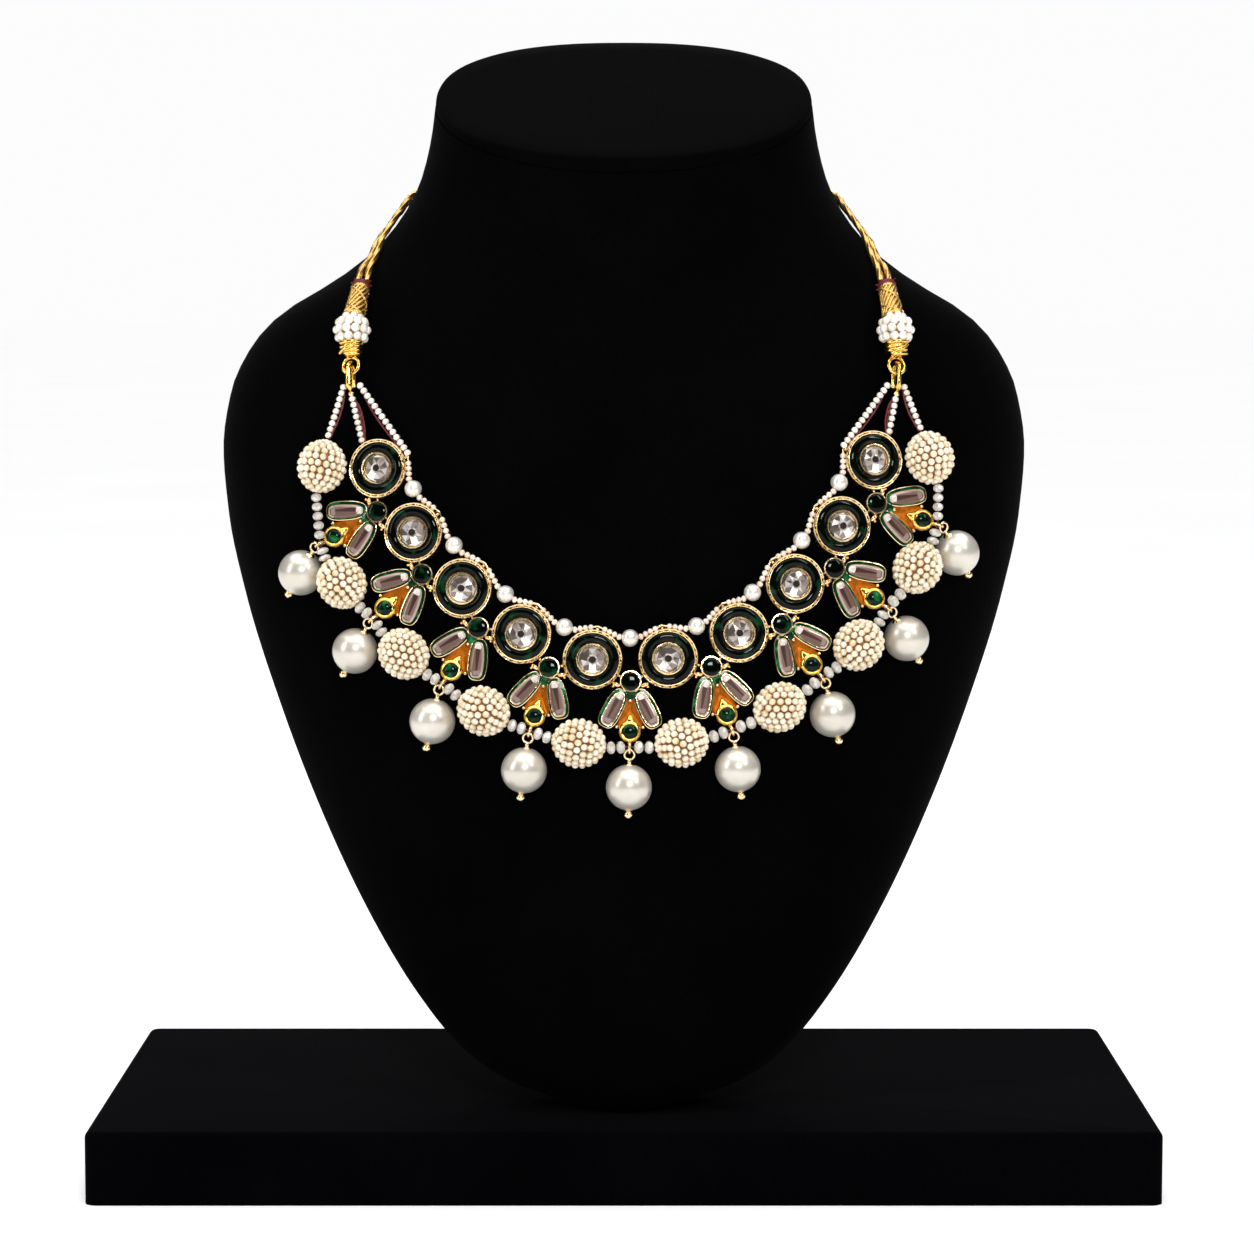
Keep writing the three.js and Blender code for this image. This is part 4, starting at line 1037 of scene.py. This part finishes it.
def make_inner_string():
    """Small pearls along the medallions' inner edge, seeds between them and a strand at each end."""
    bm = bmesh.new()
    reach = (MEDALLION_DIAMETER + SMALL_PEARL) / 2 + SMALL_PEARL_SPACE
    pearl_in = math.sqrt(reach ** 2 - (PITCH / 2) ** 2)
    half = (MEDALLION_COUNT - 1) / 2

    def at(along, inward):
        x, z, _, _ = route_place(along * PITCH, inward)
        return lifted(x, z, SMALL_PEARL / 2 + GAP)

    def beside(i, radius):
        return at(i - half, MEDALLION_DIAMETER / 2 + radius + 0.5 * GAP)

    for i in range(LEAF_COUNT):
        along = i - half + 0.5
        middle = at(along, pearl_in)
        run = (at(along + 0.1, pearl_in) - at(along - 0.1, pearl_in)).normalized()
        bead(bm, frame_along(middle, run), SMALL_PEARL, SMALL_PEARL * 0.97, SMALL_WHITE_PEARL, 24, 16)
        for way, near in ((-1, beside(i, INNER_SEED / 2)), (1, beside(i + 1, INNER_SEED / 2))):
            start = middle + run * way * (SMALL_PEARL / 2 - 0.1)
            step = near - start
            # The seeds next to the medallion's top pass behind its rim, where only the wire shows
            spaces = len(INNER_SEEDS) + 0.9
            for k, size in enumerate(INNER_SEEDS):
                place = start + step * (k + 0.5) / spaces
                bead(bm, frame_along(place, step), size, min(size, step.length / spaces), PINK_BEAD, 10, 7)
            drawn(bm, [start, near], STRING_THREAD, 6, GOLD)
    for i in range(MEDALLION_COUNT):
        x, z, _, normal = route_place((i - half) * PITCH, MEDALLION_DIAMETER / 2 + 0.1)
        bead(bm, frame_along(lifted(x, z, 2.0), normal), 0.95)
    for side, i in ((-1, 0), (1, MEDALLION_COUNT - 1)):
        start, end = strand_start(side, 1), beside(i, SEED / 2)
        beads_between(bm, start, end, SEED, SEED_STEP, WHITE_BEAD)
        drawn(bm, [start, end], STRAND_THREAD, 6, MAROON)
        silk_beside(bm, start, end, -side, (0, 1.15, 1.2, 0.4))
    set_down("inner_string_pearls", shape_of(bm, "inner_string", 60), ["inner_string"])


def make_middle_strand(side, name):
    """Short strand from the hook to the first medallion, with its doubled silk beside it."""
    end, along, _ = hook_end(side)
    x, z, _, _ = route_place(side * (MEDALLION_COUNT - 1) / 2 * PITCH)
    medallion = lifted(x, z, MEDALLION_HEIGHT / 2 + GAP)
    start = end + along * (GAP + SEED / 4)
    # The strand meets the rim a little to its outer side
    swing = Matrix.Rotation(side * math.radians(-12), 3, bust_normal(x, z))
    stop = medallion + swing @ (start - medallion).normalized() * (MEDALLION_DIAMETER / 2 + 1.3 * GAP)
    run = stop - start
    bm = bmesh.new()
    beads_between(bm, start, stop, SEED, MIDDLE_SEED_STEP, WHITE_BEAD)
    bead(bm, frame_along(start - run.normalized() * 0.5, run), 1.7, 1.5, GOLD, 10, 7)
    drawn(bm, [start, stop], STRAND_THREAD, 6, MAROON)
    for wide in (0.95, 1.45):
        out = silk_beside(bm, start, stop, side, (0.3, wide, wide, 0.7), 0.3, 0.27, 2.2)
    # Knot in the silk
    bead(bm, frame_along(start.lerp(stop, 0.45) + out * 1.25, run), 1.1, 1.3, MAROON)
    strand = shape_of(bm, "middle_strand", 60)
    set_down(f"middle_strand_beads_{name}", strand, [f"middle_strand_{name}"])


def make_hook(side, name):
    """Long link of twisted gold wire."""
    centre, along, out = hook_place(side)
    straight = HOOK_HALF_LENGTH - HOOK_RADIUS
    line = []
    for end, start in ((1, -90), (-1, 90)):
        for k in range(11):
            turn = math.radians(start + 18 * k)
            line.append(centre + along * (end * straight + HOOK_RADIUS * math.cos(turn))
                        + out * HOOK_RADIUS * math.sin(turn))
    whole = sum((b - a).length for a, b in zip(line, [*line[1:], line[0]]))
    bm = bmesh.new()
    drawn(bm, line, HOOK_WIRE + 0.1, 14, BRIGHT_GOLD, lobes=2, lay=whole / 5, closed=True)
    set_down(f"twisted_hook_{name}", shape_of(bm, "twisted_hook", 70), [f"hook_{name}"])


def helix(place, radius, start, length, turns, phase=0.0, flare=0.0, steps=16):
    """Line of a wire wound round the place's Z."""
    count = max(int(abs(turns) * steps), 4)
    line = []
    for k in range(count + 1):
        share = k / count
        angle = phase + math.tau * turns * share
        line.append(place @ polar(radius + flare * (1 - share) ** 2, angle, start + length * share))
    return line


def make_dori_end(side, name):
    """Silk whipping, wire-wound sleeve, bead cluster, wound coil and eye at one end of the cords."""
    cluster, whipping = fitting(CLUSTER, side), fitting(WHIPPING, side)
    middle, down, out = eye_place(side)
    upward = frame_along(cluster, whipping - cluster)
    length = (whipping - cluster).length - 2 * GAP
    sleeve_end = length - 1.9
    foot = 2.6
    bm = bmesh.new()
    sleeve = [(0, 0), (2.6, 0), (2.5, foot), (2.1, 6.0), (1.95, sleeve_end), (0, sleeve_end)]
    turned(bm, sleeve, 20, ZARI, upward)
    for k in range(12):
        drawn(bm, helix(upward, 2.08, foot, sleeve_end - foot, 0.42, math.tau * k / 12, 0.62), 0.36, 6, ZARI)
    for k in range(2):
        crossed = helix(upward, 2.28, foot + 0.2, sleeve_end - foot - 0.6, -0.8, 2.2 + math.pi * k, 0.55)
        drawn(bm, crossed, 0.3, 6, ZARI)
    for height, wide in ((foot, 2.68), (sleeve_end - 0.35, 2.1)):
        drawn(bm, helix(upward, wide, height, 0.45, 2, steps=20), 0.3, 6, ZARI)
    # Silk whipping with short ends left loose
    turned(bm, [
        (0, sleeve_end), (1.95, sleeve_end), (2.1, sleeve_end + 0.4), (2.1, length - 0.3), (1.8, length),
        (0, length),
    ], 20, MAROON, upward)
    drawn(bm, helix(upward, 2.08, sleeve_end + 0.2, 1.5, 4, steps=20), 0.24, 6, MAROON)
    rise = upward.to_3x3() @ Vector((0, 0, 1))
    chance = random.Random(7)
    for k in range(9):
        angle = math.tau * (k + chance.uniform(-0.3, 0.3)) / 9
        way = upward.to_3x3() @ polar(1, angle)
        root = upward @ polar(2.0, angle, length - 0.5)
        tip = chance.uniform(0.6, 1.4)
        loose = [root, root + way * 0.35 * tip + rise * 0.5, root + way * 0.9 * tip + rise * 0.4]
        drawn(bm, smooth_line(loose, 3), 0.16, 5, MAROON)
    # Cluster of round beads in rows about the cords' knot
    axis = frame_along(cluster, down)
    beads = axis @ Matrix.Translation((0, 0, CLUSTER_SINK))
    bead(bm, beads, CLUSTER_DIAMETER - 2.8, None, CORE, 16, 10)
    size, rows = 2.25, 5
    radius = (CLUSTER_DIAMETER - size + 0.2) / 2
    for k in range(rows):
        turn = math.radians(-62 + 31 * k)
        count = max(round(math.tau * radius * math.cos(turn) / (size * 1.02)), 4)
        for i in range(count):
            angle = math.tau * (i + 0.5 * (k % 2)) / count
            place = polar(radius * math.cos(turn), angle, radius * math.sin(turn))
            bead(bm, beads @ Matrix.Translation(place), size, None, WHITE_BEAD, 12, 8)
    # Coil of thick wire over a cone, with one end crossing it in front
    turned(bm, [(0, 3.2), (2.5, 3.2), (2.4, 6.6), (1.5, 7.7), (0, 8.1)], 20, BRIGHT_GOLD, axis)
    drawn(bm, helix(axis, 2.5, 4.0, 3.3, 3.2, 0.5, 0.2, 24), 0.56, 8, BRIGHT_GOLD)
    front = (out - down * out.dot(down)).normalized()
    across = down.cross(front)
    knot = cluster + down * 5.7 + front * 2.95
    crossing = [
        knot - across * 2.1 - down - front * 0.8,
        knot - across * 0.6 + down * 0.1,
        knot + across * 0.7 + down * 0.5,
        knot + across * 2.1 + down * 1.3 - front * 0.9,
    ]
    drawn(bm, smooth_line(crossing, 5), 0.45, 8, BRIGHT_GOLD)
    ring(bm, EYE_RADIUS, EYE_WIRE, frame_of(middle, out, down), BRIGHT_GOLD, 26, 10)
    set_down(f"dori_end_dressed_{name}", shape_of(bm, "dori_end", 60), [f"dori_end_{name}"])


def make_necklace():
    medallion = medallion_form()
    leaf, drop, ball = leaf_form(), drop_form(), woven_ball_form()
    stones = [round_stone_form(seed) for seed in (3, 8, 14)]
    for i in range(MEDALLION_COUNT):
        x, z, tangent, normal = route_place((i - (MEDALLION_COUNT - 1) / 2) * PITCH)
        inward = normal.cross(tangent)
        set_down(f"enamelled_medallion_{i + 1}", medallion, [f"medallion_setting_{i + 1}"],
                 frame_of(lifted(x, z, GAP), normal, inward), copy=True)
        # The facets painted bright as highlights all lie low, a few degrees one way or the other
        spin = Matrix.Rotation(math.radians(17 * (i * 3 % 5 - 2)), 4, "Z")
        set_down(f"kundan_stone_{i + 1}", stones[i % 3], [f"medallion_stone_{i + 1}"],
                 frame_of(lifted(x, z, GAP + SEAT_HEIGHT + 0.1), normal, Vector((0, 0, 1))) @ spin, copy=True)
    for i, (motif, _, _, drop_frame) in enumerate(MOTIFS):
        set_down(f"leaf_setting_{i + 1}", leaf, [f"leaf_motif_{i + 1}"], motif, copy=True)
        set_down(f"drop_{i + 1}", drop, [f"pearl_drop_{i + 1}"], drop_frame, copy=True)
    for i, (centre, axis) in enumerate(BALLS):
        roll = Matrix.Rotation(math.radians(47 * i), 4, "Z")
        set_down(f"seed_ball_{i + 1}", ball, [f"woven_ball_{i + 1}"],
                 frame_along(centre, axis) @ roll, copy=True)
    for form in [medallion, leaf, drop, ball, *stones]:
        bpy.data.meshes.remove(form)
    make_outer_string()
    make_inner_string()
    for side, name in ((-1, "left"), (1, "right")):
        make_middle_strand(side, name)
        make_hook(side, name)
        make_dori_end(side, name)


def make_stage():
    """Pale floor with soft lamps."""
    material, tree, shader = surface("pale_matt_floor", {"Roughness": 0.9, "Specular IOR Level": 0.1})
    tinted(tree, shader, noise(tree, 3, 2), "#F2F2F3", "#F6F6F6")
    bm = bmesh.new()
    bmesh.ops.create_grid(bm, x_segments=8, y_segments=8, size=30)
    mesh = bpy.data.meshes.new("floor")
    bm.to_mesh(mesh)
    bm.free()
    mesh.materials.append(material)
    floor = bpy.data.objects.new("floor", mesh)
    bpy.context.scene.collection.objects.link(floor)
    lamps = [
        ("front_softbox", (0.1, -1.15, 0.64), (0.24, 0.18), 5.2),
        ("left_strip", (-0.95, -0.55, 0.6), (0.16, 0.7), 3.6),
        ("right_strip", (0.75, -0.75, 0.95), (0.14, 0.5), 4),
        ("back_softbox", (0.0, 1.2, 0.8), (0.8, 0.5), 5),
    ]
    for name, spot_at, size, power in lamps:
        data = bpy.data.lights.new(name, "AREA")
        data.shape = "RECTANGLE"
        data.size, data.size_y = size
        data.energy = power
        lamp = bpy.data.objects.new(name, data)
        lamp.location = spot_at
        lamp.rotation_euler = (Vector((0, 0, 0.17)) - lamp.location).to_track_quat("-Z", "Y").to_euler()
        lamp.visible_camera = False
        bpy.context.scene.collection.objects.link(lamp)
    # One very soft light from above keeps the floor evenly pale
    overhead = bpy.data.lights.new("overhead", "SUN")
    overhead.energy = 3.3
    overhead.angle = math.radians(80)
    bpy.context.scene.collection.objects.link(bpy.data.objects.new("overhead", overhead))
    world = bpy.data.worlds.new("studio")
    world.use_nodes = True
    tree = world.node_tree
    seen = add(tree, "ShaderNodeLightPath").outputs["Is Camera Ray"]
    # Pale where it is seen, and a dim room in the reflections
    room = tree.nodes["Background"]
    room.inputs["Color"].default_value = hex_colour("#FCFCFD")
    tree.links.new(ranged(tree, seen, to_min=0.06, to_max=1.0), room.inputs["Strength"])
    bpy.context.scene.world = world
    bpy.context.scene.view_settings.view_transform = "Standard"


make_camera()
make_cords()
make_bust()
make_base()
make_necklace()
make_stage()
